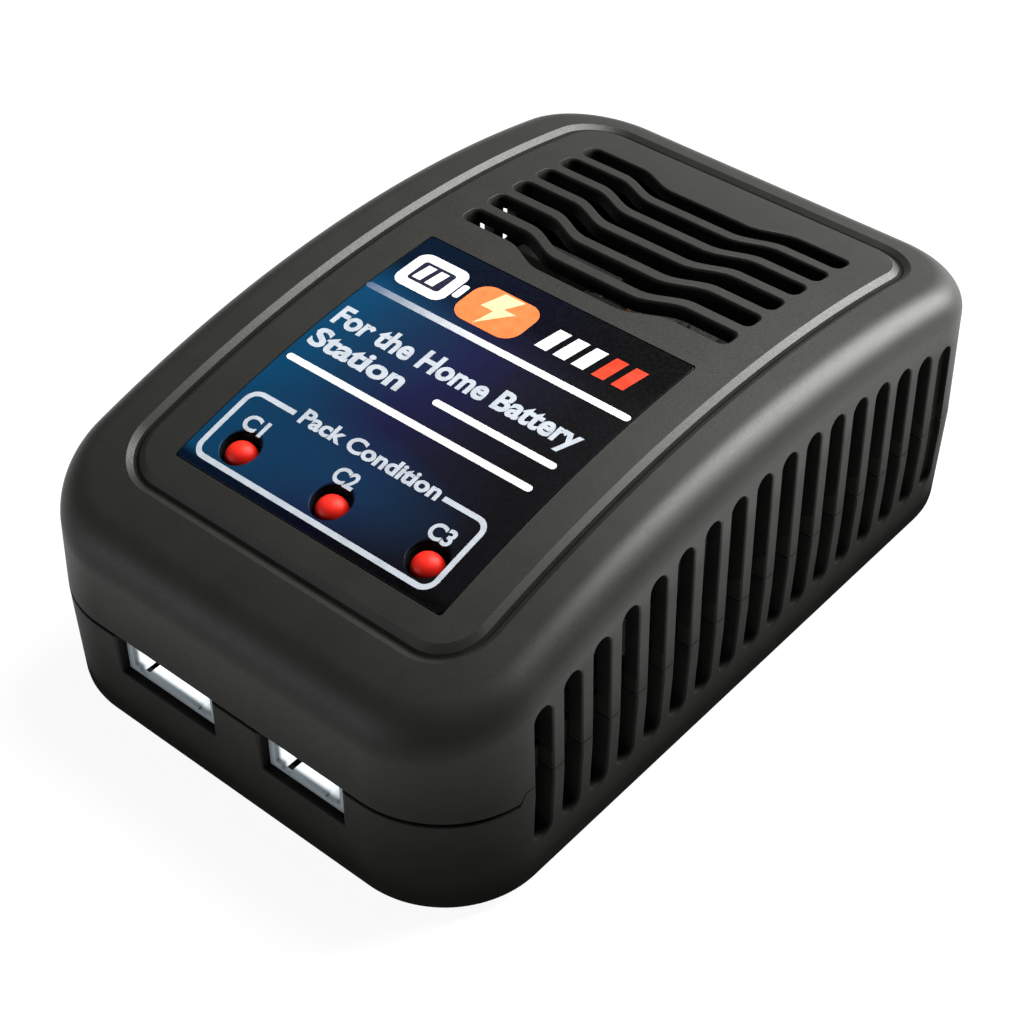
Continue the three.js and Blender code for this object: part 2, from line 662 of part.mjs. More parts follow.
// A chip or moulded box with chamfered upper edges
function mouldedBox({ width, length, height, chamfer }) {
  const half = width / 2;
  const shape = new THREE.Shape();
  shape.moveTo(-half, 0);
  shape.lineTo(half, 0);
  shape.lineTo(half, height - chamfer);
  shape.lineTo(half - chamfer, height);
  shape.lineTo(chamfer - half, height);
  shape.lineTo(-half, height - chamfer);
  shape.closePath();
  return solid(alongY(shape, -length / 2, length / 2));
}

// A disc standing on edge
function discCapacitor() {
  const disc = bar(0, 0, DISC.radius, -DISC.thickness / 2, DISC.thickness / 2);
  return solid(disc.rotateX(Math.PI / 2).translate(0, 0, DISC.radius));
}

// A hole along Y at the height of the transistor's tab
function tabHole(radius) {
  return solid(bar(0, 0, radius, -9, 9).rotateX(Math.PI / 2).translate(0, 0, TRANSISTOR.holeZ));
}

// A flat-tab power transistor standing upright
function powerTransistor() {
  const { halfWidth, halfLength, height, tab, tabTop, hole } = TRANSISTOR;
  const body = solid(block([-halfWidth, -halfLength, 0], [halfWidth, halfLength, height]));
  const plate = solid(block([-halfWidth, halfLength - tab, height - 1], [halfWidth, halfLength, tabTop]));
  return cut(join(body, plate), tabHole(hole));
}

// An upright aluminium plate with ribs on its far side
function heatSink() {
  const { halfWidth, plate, height, ribDepth, ribHalf, ribPitch } = SINK;
  const sheet = solid(block([-halfWidth, 0, 0], [halfWidth, plate, height]));
  const ribs = [-1.5, -0.5, 0.5, 1.5].map((turn) => {
    const x = turn * ribPitch;
    return solid(block([x - ribHalf, plate / 2, 0], [x + ribHalf, ribDepth, height]));
  });
  return cut(join(sheet, ...ribs), tabHole(SCREW.pilot));
}

function drumInductor() {
  const { radius, waist, flange, height } = DRUM;
  const lower = [[0, 0], [radius, 0], [radius, flange], [waist, flange + GAP]];
  const upper = [[waist, height - flange - GAP], [radius, height - flange], [radius, height], [0, height]];
  return solid(turned([...lower, ...upper]));
}

// A round diode lying along Y
function axialDiode() {
  const { radius, halfLength } = DIODE;
  const profile = [[0, -halfLength], [radius, -halfLength], [radius, halfLength], [0, halfLength]];
  return solid(turned(profile).rotateX(Math.PI / 2).translate(0, 0, radius));
}

// ---------------------------------------------------------------- assembly

const charger = new THREE.Group();
const insideCase = new THREE.Group();
insideCase.position.z = FOOT.stand;
charger.add(insideCase);

function place(name, body, finish, x = 0, y = 0, z = 0) {
  const mesh = new THREE.Mesh(geometryOf(body), finish);
  mesh.name = name;
  mesh.position.set(x, y, z);
  insideCase.add(mesh);
  return mesh;
}

place("top_cover", topCover(), casePlastic());
place("bottom_case", bottomCase(), casePlastic());
place("label_overlay", labelOverlay(), labelPrint());
lampXs.forEach((x, i) => place(`cell_lamp_${i + 1}`, lamp(x), redLens()));

for (const [name, ways, x] of [["three_cell", 4, THREE_CELL_X], ["two_cell", 3, TWO_CELL_X]]) {
  place(`${name}_socket`, socketShroud(ways), socketPlastic(), x);
  for (let i = 0; i < ways; i += 1) {
    place(`${name}_pin_${i + 1}`, socketPin(), tinnedPin(), x + pinX(ways, i));
  }
}

place("mains_inlet", inletBody(), blackPart());
inletPinXs.forEach((x, i) => place(`mains_pin_${i + 1}`, inletPin(x), tinnedPin()));

corners(POST.x, POST.y).forEach(([x, y], i) => {
  const z = POST.headDepth - SCREW.headHeight - GAP;
  place(`case_screw_${i + 1}`, panScrew(CASE_SCREW_LENGTH), zincSteel(), x, y, z);
});
corners(FOOT.x, FOOT.y).forEach(([x, y], i) => place(`rubber_foot_${i + 1}`, foot(), rubber(), x, y));

function onBoard(name, body, finish, [x, y]) {
  return place(name, body, finish, x, y, SEAT);
}

place("main_board", mainBoard(), boardGreen());
onBoard("transformer_core", transformerCore(), ferrite(), TRANSFORMER_AT);
onBoard("transformer_bobbin", transformerBobbin(), blackPart(), TRANSFORMER_AT);
onBoard("transformer_winding", transformerWinding(), yellowTape(), TRANSFORMER_AT);
onBoard("choke_core", chokeCore(), ferrite(), CHOKE_AT);
onBoard("choke_coil_1", chokeCoil(), copperCoil(), [CHOKE_AT[0] - COIL_OFFSET, CHOKE_AT[1]]);
onBoard("choke_coil_2", chokeCoil(), copperCoil(), [CHOKE_AT[0] + COIL_OFFSET, CHOKE_AT[1]]);
onBoard("bulk_capacitor", canCapacitor(BULK_CAN), blackPart(), BULK_CAN_AT);
onBoard("mains_filter_capacitor", mouldedBox(FILTER_BOX), greyBox(), FILTER_AT);
onBoard("mains_fuse", mouldedBox(FUSE_BOX), blackPart(), FUSE_AT);
onBoard("bridge_rectifier", mouldedBox(RECTIFIER_BOX), blackPart(), RECTIFIER_AT);

const [tabX, tabY] = TRANSISTOR_AT;
const tabBack = tabY + TRANSISTOR.halfLength;
const tabFront = tabBack - TRANSISTOR.tab;
const sinkScrewY = tabFront - GAP - SCREW.headHeight;
onBoard("switching_transistor", powerTransistor(), blackPart(), TRANSISTOR_AT);
onBoard("heat_sink", heatSink(), aluminium(), [tabX, tabBack + GAP]);
const sinkScrew = onBoard("heat_sink_screw", panScrew(SINK_SCREW_LENGTH), zincSteel(), [tabX, sinkScrewY]);
sinkScrew.position.z += TRANSISTOR.holeZ;
sinkScrew.rotation.x = -Math.PI / 2;

onBoard("safety_capacitor", discCapacitor(), blueSleeve(), SAFETY_DISC_AT);
onBoard("optocoupler", mouldedBox(OPTO_BOX), blackPart(), OPTO_AT);
onBoard("output_diode", axialDiode(), blackPart(), DIODE_AT);
OUTPUT_CANS_AT.forEach((at, i) => {
  onBoard(`output_capacitor_${i + 1}`, canCapacitor(OUTPUT_CAN), blackPart(), at);
});
onBoard("output_inductor", drumInductor(), copperCoil(), DRUM_AT);
onBoard("control_chip", mouldedBox(CHIP_BOX), blackPart(), CHIP_AT);

lampXs.forEach((x, i) => {
  const fromLamp = ([dx, dy]) => [x + dx, LAMP.y + dy];
  const transistor = mouldedBox(BALANCE_TRANSISTOR_BOX);
  const resistor = mouldedBox(BALANCE_RESISTOR_BOX);
  onBoard(`balance_transistor_${i + 1}`, transistor, blackPart(), fromLamp(BALANCE_TRANSISTOR_FROM_LAMP));
  onBoard(`balance_resistor_${i + 1}`, resistor, blackPart(), fromLamp(BALANCE_RESISTOR_FROM_LAMP));
});

export default charger;
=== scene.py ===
"""Looks of the balance battery charger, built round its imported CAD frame.

Each CAD node gets a piece in its place with finer rounding and detail. The label's print and the legs of
the lamps are added beside them. Lengths are in millimetres unless a name ends in _m, and heights are
measured from the underside of the case. STAND is the height of the rubber feet under it, and settle()
takes a finished piece into the shared frame.
"""

import json
import math
from contextlib import contextmanager

import bmesh
import bpy
from mathutils import Matrix, Vector
from mathutils.bvhtree import BVHTree
from mathutils.geometry import barycentric_transform


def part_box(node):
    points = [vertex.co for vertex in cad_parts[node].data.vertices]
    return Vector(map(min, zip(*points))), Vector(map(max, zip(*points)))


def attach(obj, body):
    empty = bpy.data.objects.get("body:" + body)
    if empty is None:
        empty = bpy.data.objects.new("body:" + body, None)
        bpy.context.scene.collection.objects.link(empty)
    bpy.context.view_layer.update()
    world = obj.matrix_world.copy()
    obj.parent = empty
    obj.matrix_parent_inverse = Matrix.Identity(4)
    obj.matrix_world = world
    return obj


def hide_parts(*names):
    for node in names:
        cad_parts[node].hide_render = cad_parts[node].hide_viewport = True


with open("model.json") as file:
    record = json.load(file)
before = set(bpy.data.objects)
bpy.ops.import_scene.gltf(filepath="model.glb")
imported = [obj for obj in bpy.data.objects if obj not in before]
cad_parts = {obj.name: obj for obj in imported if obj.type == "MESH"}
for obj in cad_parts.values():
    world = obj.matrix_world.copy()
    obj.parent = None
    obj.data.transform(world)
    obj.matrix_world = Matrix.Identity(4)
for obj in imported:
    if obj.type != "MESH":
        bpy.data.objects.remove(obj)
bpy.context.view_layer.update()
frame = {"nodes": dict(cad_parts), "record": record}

# ---------------------------------------------------------------- dimensions
# As in the CAD model, except the groove's section, the length of the roof slots and the socket keys

MM = 0.001
STAND = 0.6
GAP = 0.3
TOOL_LEAD = 0.12

CASE_WIDTH = 58
CASE_LENGTH = 88.6
CASE_HEIGHT = 33
CORNER_RADIUS = 11.5
ARCH_RADIUS = 137
ARCH_TOP_Y = 7
SHOULDER_RADIUS = 3.6
EDGE_RADIUS = 1.6
DRAFT = 0.3
COVER_WALL = 1.6
CASE_WALL = 2.2
FLOOR = 2

PARTING_FRONT = 12.75
PARTING_SIDE = 14.05
PARTING_STEP_Y = -35.2
PARTING_RAMP = 0.6
PARTING_GAP_FRONT = 0.34
PARTING_GAP_SIDE = 0.14
PARTING_EDGE = 0.2
TONGUE_HEIGHT = 2.2
TONGUE_THICKNESS = 1.2

GROOVE_HALF_WIDTH = 21.8
GROOVE_FRONT = -36.1
GROOVE_BACK = 37.8
GROOVE_CORNER = 5
GROOVE_REACH = 0.96
GROOVE_DEPTH = 0.66
GROOVE_SHADE = 0.3

SIDE_SLOTS = 16
SIDE_SLOT_PITCH = 4.08
SIDE_SLOT_FIRST_Y = -32.1
SIDE_SLOT_WIDTH = 2.4
SIDE_SLOT_BOTTOM = 5.9
SIDE_SLOT_ARCH_RADIUS = 118
SIDE_SLOT_ARCH_Y = 3
SIDE_SLOT_ARCH_Z = 28.4
SIDE_SLOT_EDGE = 0.28
BLIND_SLOT_DEPTH = 0.8

ROOF_SLOTS = 6
ROOF_SLOT_PITCH = 4
ROOF_SLOT_FIRST_Y = 10.5
ROOF_SLOT_WIDTH = 2.2
ROOF_SLOT_HALF = 16.95
ROOF_SLOT_END = 0.7
ROOF_SLOT_EDGE = 0.45
ROOF_BEND_FROM = 5
ROOF_BEND_TO = 10.6
ROOF_BEND_SHIFT = -2

LABEL_HALF_WIDTH = 17
LABEL_FRONT = -32.4
LABEL_BACK = 4.6
LABEL_THICKNESS = 0.25
LABEL_TOP = 0.02
LABEL_RECESS = 0.5
LABEL_GAP = 0.12
LABEL_CORNER = 0.4
INK_THICKNESS = 0.03
LETTER_WEIGHT = 0.035
FONT_CAPITAL = 0.70

LAMP_Y = -28.5
LAMP_PITCH = 12
LAMP_XS = [-LAMP_PITCH, 0, LAMP_PITCH]
LAMP_RADIUS = 1.7
LAMP_PROUD = 0.3
LAMP_LENGTH = 5.3
LAMP_FLANGE = 2
LAMP_LEG_OFFSET = 1.27
LAMP_LEG_HALF = 0.25
LAMP_HOLE = 2.1
LAMP_HOLE_EDGE = 0.15

BOARD_TOP = 8.05
SEAT = BOARD_TOP + GAP

SOCKET_PITCH = 2.5
SOCKET_ENDS = 4.9
SOCKET_HEIGHT = 5.75
SOCKET_DEPTH = 10.4
SOCKET_WALL = 0.8
SOCKET_BACK = 2.4
SOCKET_FACE = -43.4
SOCKET_RIM = 0.45
SOCKET_KEY_INSET = 2.1
SOCKET_KEY_REACH = 0.6
SOCKET_KEY_LENGTH = 5
PIN_HALF = 0.32
PIN_TIP = 1.2
PIN_TAIL = 1.6
PIN_BEND = 1.1
THREE_CELL_X = -8.3
TWO_CELL_X = 9.9
WINDOW_SILL = 8
WINDOW_EDGE = 0.22

INLET_WIDTH = 20
INLET_HEIGHT = 12.6
INLET_DEPTH = 15.4
INLET_RECESS = 11
INLET_LOBE = 4.1
INLET_LOBE_OFFSET = 4.3
INLET_WAIST = 2.8
INLET_PIN_BORE = 1.5
INLET_Z = 15.2

POST_X = 22.2
POST_Y = 37.4
POST_RADIUS = 3.2
POST_BORE = 1.7
POST_HEAD_BORE = 2.9
POST_HEAD_DEPTH = 4.2
POST_PILOT = 1.5
SCREW_HEAD = 2.5
SCREW_HEAD_HEIGHT = 1.9
SCREW_CORE = 0.95
SCREW_THREAD = 1.15
SCREW_PITCH = 0.8
CROSS_WING = 1.2
CROSS_HALF = 0.3
CROSS_DEPTH = 0.9
FOOT_X = 19.5
FOOT_Y = 27.5
FOOT_RADIUS = 4
FOOT_RECESS = 0.4

# How far under the skin the outside finish ends and the painted shade of the darker inside material begins
INSIDE_FROM = 0.16
ROOF_SLOT_INSIDE_FROM = 0.06

# Fineness of round stretches
CORNER_STEPS = 28
SHOULDER_STEPS = 14
ARCH_STEPS = 66
EDGE_STEPS = 6
LIP_STEPS = 4
ROUND = 48

# ---------------------------------------------------------------- small tools


def lerp(a, b, t):
    return a + (b - a) * t


def arc(x, y, radius, start, end, steps=8):
    """Points on a circle between two angles in degrees, anticlockwise from +X."""
    turns = [math.radians(lerp(start, end, i / steps)) for i in range(steps + 1)]
    return [(x + radius * math.cos(t), y + radius * math.sin(t)) for t in turns]


def smooth_step(value, low, high):
    t = min(max((value - low) / (high - low), 0), 1)
    return t * t * (3 - 2 * t)


def in_scene(name, data):
    """An object with this data, linked into the scene."""
    added = bpy.data.objects.new(name, data)
    bpy.context.scene.collection.objects.link(added)
    return added


@contextmanager
def editing(piece):
    """Opens a piece's mesh for editing and writes it back afterwards."""
    edited = bmesh.new()
    edited.from_mesh(piece.data)
    yield edited
    edited.to_mesh(piece.data)
    edited.free()


def make_piece(name, points, faces):
    """A mesh object still in millimetres."""
    mesh = bpy.data.meshes.new(name)
    mesh.from_pydata(points, [], faces)
    mesh.update()
    return face_outwards(in_scene(name, mesh))


def face_outwards(piece):
    with editing(piece) as edited:
        bmesh.ops.recalc_face_normals(edited, faces=edited.faces)
    return piece


def discard(piece):
    mesh = piece.data
    bpy.data.objects.remove(piece)
    if mesh.users == 0:
        bpy.data.meshes.remove(mesh)


def apply_modifiers(piece):
    graph = bpy.context.evaluated_depsgraph_get()
    mesh = bpy.data.meshes.new_from_object(piece.evaluated_get(graph), depsgraph=graph)
    old = piece.data
    piece.modifiers.clear()
    piece.data = mesh
    bpy.data.meshes.remove(old)
    mesh.name = piece.name


def triangulate(piece):
    with editing(piece) as edited:
        bmesh.ops.triangulate(edited, faces=[f for f in edited.faces if len(f.verts) > 3])


def combine(piece, tool, operation):
    triangulate(piece)
    triangulate(tool)
    modifier = piece.modifiers.new("combine", "BOOLEAN")
    modifier.operation = operation
    modifier.solver = "MANIFOLD"
    modifier.object = tool
    apply_modifiers(piece)
    discard(tool)
    return piece


def cut(piece, *tools):
    for tool in tools:
        combine(piece, tool, "DIFFERENCE")
    return piece


def join(piece, *others):
    for other in others:
        combine(piece, other, "UNION")
    return piece


def together(name, pieces):
    """Separate closed pieces that don't touch, as one object."""
    points = []
    faces = []
    for piece in pieces:
        first = len(points)
        points += [tuple(v.co) for v in piece.data.vertices]
        faces += [tuple(first + i for i in face.vertices) for face in piece.data.polygons]
        discard(piece)
    return make_piece(name, points, faces)


def transformed(piece, matrix):
    piece.data.transform(matrix)
    return face_outwards(piece)


def moved(piece, x, y, z=0):
    return transformed(piece, Matrix.Translation((x, y, z)))


def bevelled(piece, width, steps):
    modifier = piece.modifiers.new("bevel", "BEVEL")
    modifier.width = width
    modifier.segments = steps
    modifier.limit_method = "ANGLE"
    modifier.angle_limit = math.radians(30)
    modifier.harden_normals = False
    apply_modifiers(piece)
    return piece


def to_frame(mesh):
    """From millimetres above the case's underside to metres above the bench."""
    mesh.transform(Matrix.Translation((0, 0, STAND)))
    mesh.transform(Matrix.Scale(MM, 4))


def settle(piece, material, slot, *nodes, crease=32):
    """Puts a finished piece into the shared frame in metres, with its finish, in place of its CAD nodes."""
    mesh = piece.data
    to_frame(mesh)
    mesh.materials.clear()
    mesh.materials.append(material)
    mesh.shade_smooth()
    mesh.set_sharp_from_angle(angle=math.radians(crease))
    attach(piece, "root")
    if nodes:
        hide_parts(*nodes)
    return piece


def shade_as_roof(piece):
    """Faces that look up get the smooth shading of the arch."""
    mesh = piece.data
    shading = [(0, 0, 0)] * len(mesh.loops)
    for face in mesh.polygons:
        if face.normal.z < 0.9:
            continue
        for loop in face.loop_indices:
            y = mesh.vertices[mesh.loops[loop].vertex_index].co.y / MM - ARCH_TOP_Y
            shading[loop] = tuple(Vector((0, y, math.sqrt(ARCH_RADIUS**2 - y * y))).normalized())
    mesh.normals_split_custom_set(shading)


def finish_depth(place):
    """How far under the skin the outside finish goes before the painted shade of the darker inside material.
    It covers the groove's walls above their shaded bottom, and the tongue.
    """
    tongue_x = CASE_WIDTH / 2 - COVER_WALL - GAP - TONGUE_THICKNESS - 0.2
    on_tongue = abs(place.x) > tongue_x and PARTING_SIDE < place.z < PARTING_SIDE + TONGUE_HEIGHT + 0.1
    near_roof = place.z > roof(place.y) - GROOVE_DEPTH * (1 - GROOVE_SHADE) - 0.02
    slots_x = GROOVE_HALF_WIDTH - 3
    slots_front, slots_back = 3, GROOVE_BACK - 3
    among_roof_slots = abs(place.x) < slots_x and slots_front < place.y < slots_back
    if on_tongue or (near_roof and not among_roof_slots):
        return CASE_HEIGHT
    return ROOF_SLOT_INSIDE_FROM if among_roof_slots else INSIDE_FROM


class Skin:
    """The clean surface of a form before anything was cut from it, to take smooth shading from."""

    def __init__(self, form, side=1):
        to_frame(form.data)
        form.data.shade_smooth()
        triangulate(form)
        self.points = [v.co.copy() for v in form.data.vertices]
        self.normals = [v.normal * side for v in form.data.vertices]
        self.triangles = [tuple(face.vertices) for face in form.data.polygons]
        self.tree = BVHTree.FromPolygons(self.points, self.triangles)
        discard(form)

    def near(self, place):
        """The distance to the surface and its normal there."""
        spot, _, index, distance = self.tree.find_nearest(place)
        corner = [self.points[i] for i in self.triangles[index]]
        normal = [self.normals[i] for i in self.triangles[index]]
        return distance, barycentric_transform(spot, *corner, *normal).normalized()


def shade_as_skins(piece, skins):
    """Faces that lie on a skin take its smooth shading. Returns each vertex's depth under the first skin."""
    mesh = piece.data
    shading = [(0, 0, 0)] * len(mesh.loops)
    depths = []
    for skin in skins:
        found = [skin.near(vertex.co) for vertex in mesh.vertices]
        depths = depths or [distance for distance, _ in found]
        for face in mesh.polygons:
            lies_on_it = max(found[i][0] for i in face.vertices) < 0.004 * MM
            if lies_on_it and face.normal.dot(found[face.vertices[0]][1]) > 0.96:
                for loop in face.loop_indices:
                    shading[loop] = found[mesh.loops[loop].vertex_index][1]
    mesh.normals_split_custom_set(shading)
    return depths


def settle_shell(piece, skins, outside, inside, slot, node):
    """Settles a shell. What lies under its outer skin takes the darker, duller inside material: painted
    shade in the slots, the recesses, the groove's bottom and the inner faces.
    """
    settle(piece, outside, slot, node, crease=24)
    mesh = piece.data
    mesh.materials.append(inside)
    depths = shade_as_skins(piece, skins)
    for face in mesh.polygons:
        deepest = max(depths[i] for i in face.vertices)
        if deepest > finish_depth(face.center / MM - Vector((0, 0, STAND))) * MM:
            face.material_index = 1
    return piece


# ---------------------------------------------------------------- simple solids


def block(name, low, high):
    points = [(x, y, z) for x in (low[0], high[0]) for y in (low[1], high[1]) for z in (low[2], high[2])]
    faces = [(0, 1, 3, 2), (4, 6, 7, 5), (0, 4, 5, 1), (2, 3, 7, 6), (0, 2, 6, 4), (1, 5, 7, 3)]
    return make_piece(name, points, faces)


def turned(name, profile):
    """A turned shape on Z. The profile of (radius, z) points starts and ends on the axis."""
    points = []
    rings = []
    for radius, z in profile:
        if radius == 0:
            rings.append([len(points)] * ROUND)
            points.append((0, 0, z))
            continue
        rings.append([len(points) + i for i in range(ROUND)])
        for i in range(ROUND):
            angle = 2 * math.pi * i / ROUND
            points.append((radius * math.cos(angle), radius * math.sin(angle), z))
    faces = []
    for lower, upper in zip(rings, rings[1:]):
        for i in range(ROUND):
            j = (i + 1) % ROUND
            corners_of_face = [lower[i], lower[j], upper[j], upper[i]]
            faces.append(list(dict.fromkeys(corners_of_face)))
    return make_piece(name, points, [face for face in faces if len(face) > 2])


def bar(name, x, y, radius, low, high):
    return moved(turned(name, [(0, low), (radius, low), (radius, high), (0, high)]), x, y)


def bands(rows, count, wraps=False):
    """The faces between closed rings of points, and from the last ring to the first where it wraps."""
    faces = []
    for i in range(rows if wraps else rows - 1):
        lower = i * count
        upper = (i + 1) % rows * count
        for j in range(count):
            k = (j + 1) % count
            faces.append((lower + j, lower + k, upper + k, upper + j))
    return faces


def stacked(name, rings, closes_on_itself=False):
    """A form from stacked rings of equal count, each symmetric about X = 0 and starting at its front.

    Its ends are closed by strips that run across it, or the last ring joins the first again."""
    count = len(rings[0])
    points = [point for ring in rings for point in ring]
    faces = bands(len(rings), count, closes_on_itself)
    if not closes_on_itself:
        top = (len(rings) - 1) * count
        for near in range(count // 2 - 1):
            far = count - 1 - near
            faces.append((top + near, top + near + 1, top + far - 1, top + far))
            faces.append((near, far, far - 1, near + 1))
    return make_piece(name, points, faces)


def tube_of_loops(name, loops):
    """A solid from equal closed loops in a row, with its first and last loop filled in."""
    count = len(loops[0])
    points = [point for loop in loops for point in loop]
    faces = bands(len(loops), count)
    faces.append(tuple(range(count)))
    last = (len(loops) - 1) * count
    faces.append(tuple(last + j for j in range(count)))
    return make_piece(name, points, faces)


def offset_outline(outline, distance):
    """A closed 2D outline, anticlockwise, moved outwards by a distance."""
    shifted = []
    count = len(outline)
    for i, point in enumerate(outline):
        before = Vector(outline[i - 1])
        here = Vector(point)
        after = Vector(outline[(i + 1) % count])
        along = ((here - before).normalized() + (after - here).normalized()).normalized()
        outwards = Vector((along.y, -along.x))
        stretch = 1 / max(outwards.dot(Vector(((here - before).y, -(here - before).x)).normalized()), 0.5)
        shifted.append(tuple(here + outwards * distance * stretch))
    return shifted


def mouth(radius, above=TOOL_LEAD):
    """The rounded mouth of a cut: (outward offset, depth) pairs from above the surface down to the wall."""
    first = math.radians(20)
    pairs = []
    for i in range(LIP_STEPS + 1):
        angle = lerp(first, math.pi / 2, i / LIP_STEPS)
        pairs.append((radius * (1 - math.sin(angle)), radius * (1 - math.cos(angle))))
    offset, depth = pairs[0]
    run = (above + depth) / math.sin(first)
    return [(offset + run * math.cos(first), -above)] + pairs


# ---------------------------------------------------------------- the arched case form


def roof(y):
    return CASE_HEIGHT - ARCH_RADIUS + math.sqrt(ARCH_RADIUS**2 - (y - ARCH_TOP_Y) ** 2)


def half_outline(half_width, front, back, radius, straight_steps=ARCH_STEPS, corner_steps=CORNER_STEPS):
    """The right-hand half of a rounded rectangle, from its front edge round to its back edge."""
    x = half_width - radius
    points = arc(x, front + radius, radius, -90, 0, corner_steps)
    for i in range(1, straight_steps):
        points.append((half_width, lerp(front + radius, back - radius, i / straight_steps)))
    return points + arc(x, back - radius, radius, 0, 90, corner_steps)


def whole_outline(half):
    """The whole outline, anticlockwise seen from above."""
    return half + [(-x, y) for x, y in reversed(half)]


def case_ring(inset, height, corner_steps=CORNER_STEPS):
    half_length = CASE_LENGTH / 2 - inset
    radius = CORNER_RADIUS - inset
    half_width = CASE_WIDTH / 2 - inset
    half = half_outline(half_width, -half_length, half_length, radius, corner_steps=corner_steps)
    return [(x, y, height(y)) for x, y in whole_outline(half)]


def case_form(name, wall, floor, edge):
    """The case form, thinned by a wall all round, from a floor height upwards."""
    rings = []
    for i in range(0 if edge else EDGE_STEPS, EDGE_STEPS + 1):
        angle = i / EDGE_STEPS * math.pi / 2
        inset = wall + DRAFT + edge * (1 - math.sin(angle))
        height = floor + edge * (1 - math.cos(angle))
        rings.append(case_ring(inset, lambda y, z=height: z))
    rings.append(case_ring(wall, lambda y: PARTING_FRONT))
    radius = SHOULDER_RADIUS - wall
    for i in range(SHOULDER_STEPS + 1):
        angle = i / SHOULDER_STEPS * math.pi / 2
        inset = wall + DRAFT + radius * (1 - math.cos(angle))
        drop = wall + radius * (1 - math.sin(angle))
        rings.append(case_ring(inset, lambda y, d=drop: roof(y) - d))
    return stacked(name, rings)


def wall_inset(y, z):
    """How far the drafted wall stands in from its widest line."""
    if z < PARTING_FRONT:
        return DRAFT * (PARTING_FRONT - z) / (PARTING_FRONT - EDGE_RADIUS)
    shoulder = roof(y) - SHOULDER_RADIUS
    return DRAFT * (z - PARTING_FRONT) / (shoulder - PARTING_FRONT)


def past_step(y):
    """Nothing in front of the step in the parting line, near the front corners, and one behind it."""
    return min(max((y - PARTING_STEP_Y) / PARTING_RAMP, 0), 1)


def parting(y):
    return lerp(PARTING_FRONT, PARTING_SIDE, past_step(y))


def parting_gap(y):
    return lerp(PARTING_GAP_FRONT, PARTING_GAP_SIDE, past_step(y))


# ---------------------------------------------------------------- cutting tools


def parting_tool():
    """A thin ring through the whole wall at the parting line, with a rounded mouth outside."""
    lip = mouth(PARTING_EDGE, above=0.3)
    inner = COVER_WALL + CASE_WALL + 8
    chain = [(depth, offset) for offset, depth in lip] + [(inner, 0)]
    loop = [(inset, spread, 1) for inset, spread in chain]
    loop += [(inset, spread, -1) for inset, spread in reversed(chain)]
    rings = []
    for inset, spread, side in loop:
        def height(y, s=spread, d=side):
            lift = parting_gap(y)
            return parting(y) + lift / 2 + d * (lift / 2 + s)
        rings.append(case_ring(min(inset, CORNER_RADIUS - 0.2), height, corner_steps=72))
    return stacked("parting_tool", rings, closes_on_itself=True)


def groove_tool():
    """The groove round the top panel: a V with a blunt bottom, following the arch."""
    lead = GROOVE_REACH * (1 + TOOL_LEAD / GROOVE_DEPTH)
    near_bottom = 0.12
    section = [(-lead, -TOOL_LEAD)]
    for across in (-1, -GROOVE_SHADE, -near_bottom):
        section.append((across * GROOVE_REACH, (1 + across) * GROOVE_DEPTH))
    section.append((0, GROOVE_DEPTH * (1 - near_bottom * 0.4)))
    for across in (near_bottom, GROOVE_SHADE, 1):
        section.append((across * GROOVE_REACH, (1 - across) * GROOVE_DEPTH))
    section.append((lead, -TOOL_LEAD))
    rings = []
    for offset, drop in section:
        half = half_outline(
            GROOVE_HALF_WIDTH + offset,
            GROOVE_FRONT - offset,
            GROOVE_BACK + offset,
            GROOVE_CORNER + offset,
        )
        rings.append([(x, y, roof(y) - drop) for x, y in whole_outline(half)])
    return stacked("groove_tool", rings, closes_on_itself=True)


def side_slot_y(index):
    return SIDE_SLOT_FIRST_Y + index * SIDE_SLOT_PITCH


def side_slot_outline(y):
    half = SIDE_SLOT_WIDTH / 2
    drop = SIDE_SLOT_ARCH_RADIUS - math.sqrt(SIDE_SLOT_ARCH_RADIUS**2 - (y - SIDE_SLOT_ARCH_Y) ** 2)
    top = SIDE_SLOT_ARCH_Z - drop - half
    bottom = SIDE_SLOT_BOTTOM + half
    steps = 8
    left = [(y - half, lerp(top, bottom, i / steps)) for i in range(1, steps)]
    right = [(y + half, lerp(bottom, top, i / steps)) for i in range(1, steps)]
    return arc(y, top, half, 0, 180, 10) + left + arc(y, bottom, half, 180, 360, 10) + right


def side_slot(y, deep, side):
    """One upright slot with round ends and a softened mouth, through the wall on one side."""
    outline = side_slot_outline(y)
    loops = []
    for offset, depth in mouth(SIDE_SLOT_EDGE) + [(0, deep)]:
        loop = []
        for py, pz in offset_outline(outline, offset):
            x = CASE_WIDTH / 2 - wall_inset(py, pz) - depth
            loop.append((side * x, py, pz))
        loops.append(loop)
    return tube_of_loops("side_slot", loops)


def side_slots():
    tools = []
    for side in (-1, 1):
        for i in range(SIDE_SLOTS):
            tools.append(side_slot(side_slot_y(i), CASE_WALL + 1, side))
        tools.append(side_slot(side_slot_y(SIDE_SLOTS), BLIND_SLOT_DEPTH, side))
    return together("side_slots", tools)


def roof_slot_shift(x):
    return ROOF_BEND_SHIFT * (1 - smooth_step(abs(x), ROOF_BEND_FROM, ROOF_BEND_TO))


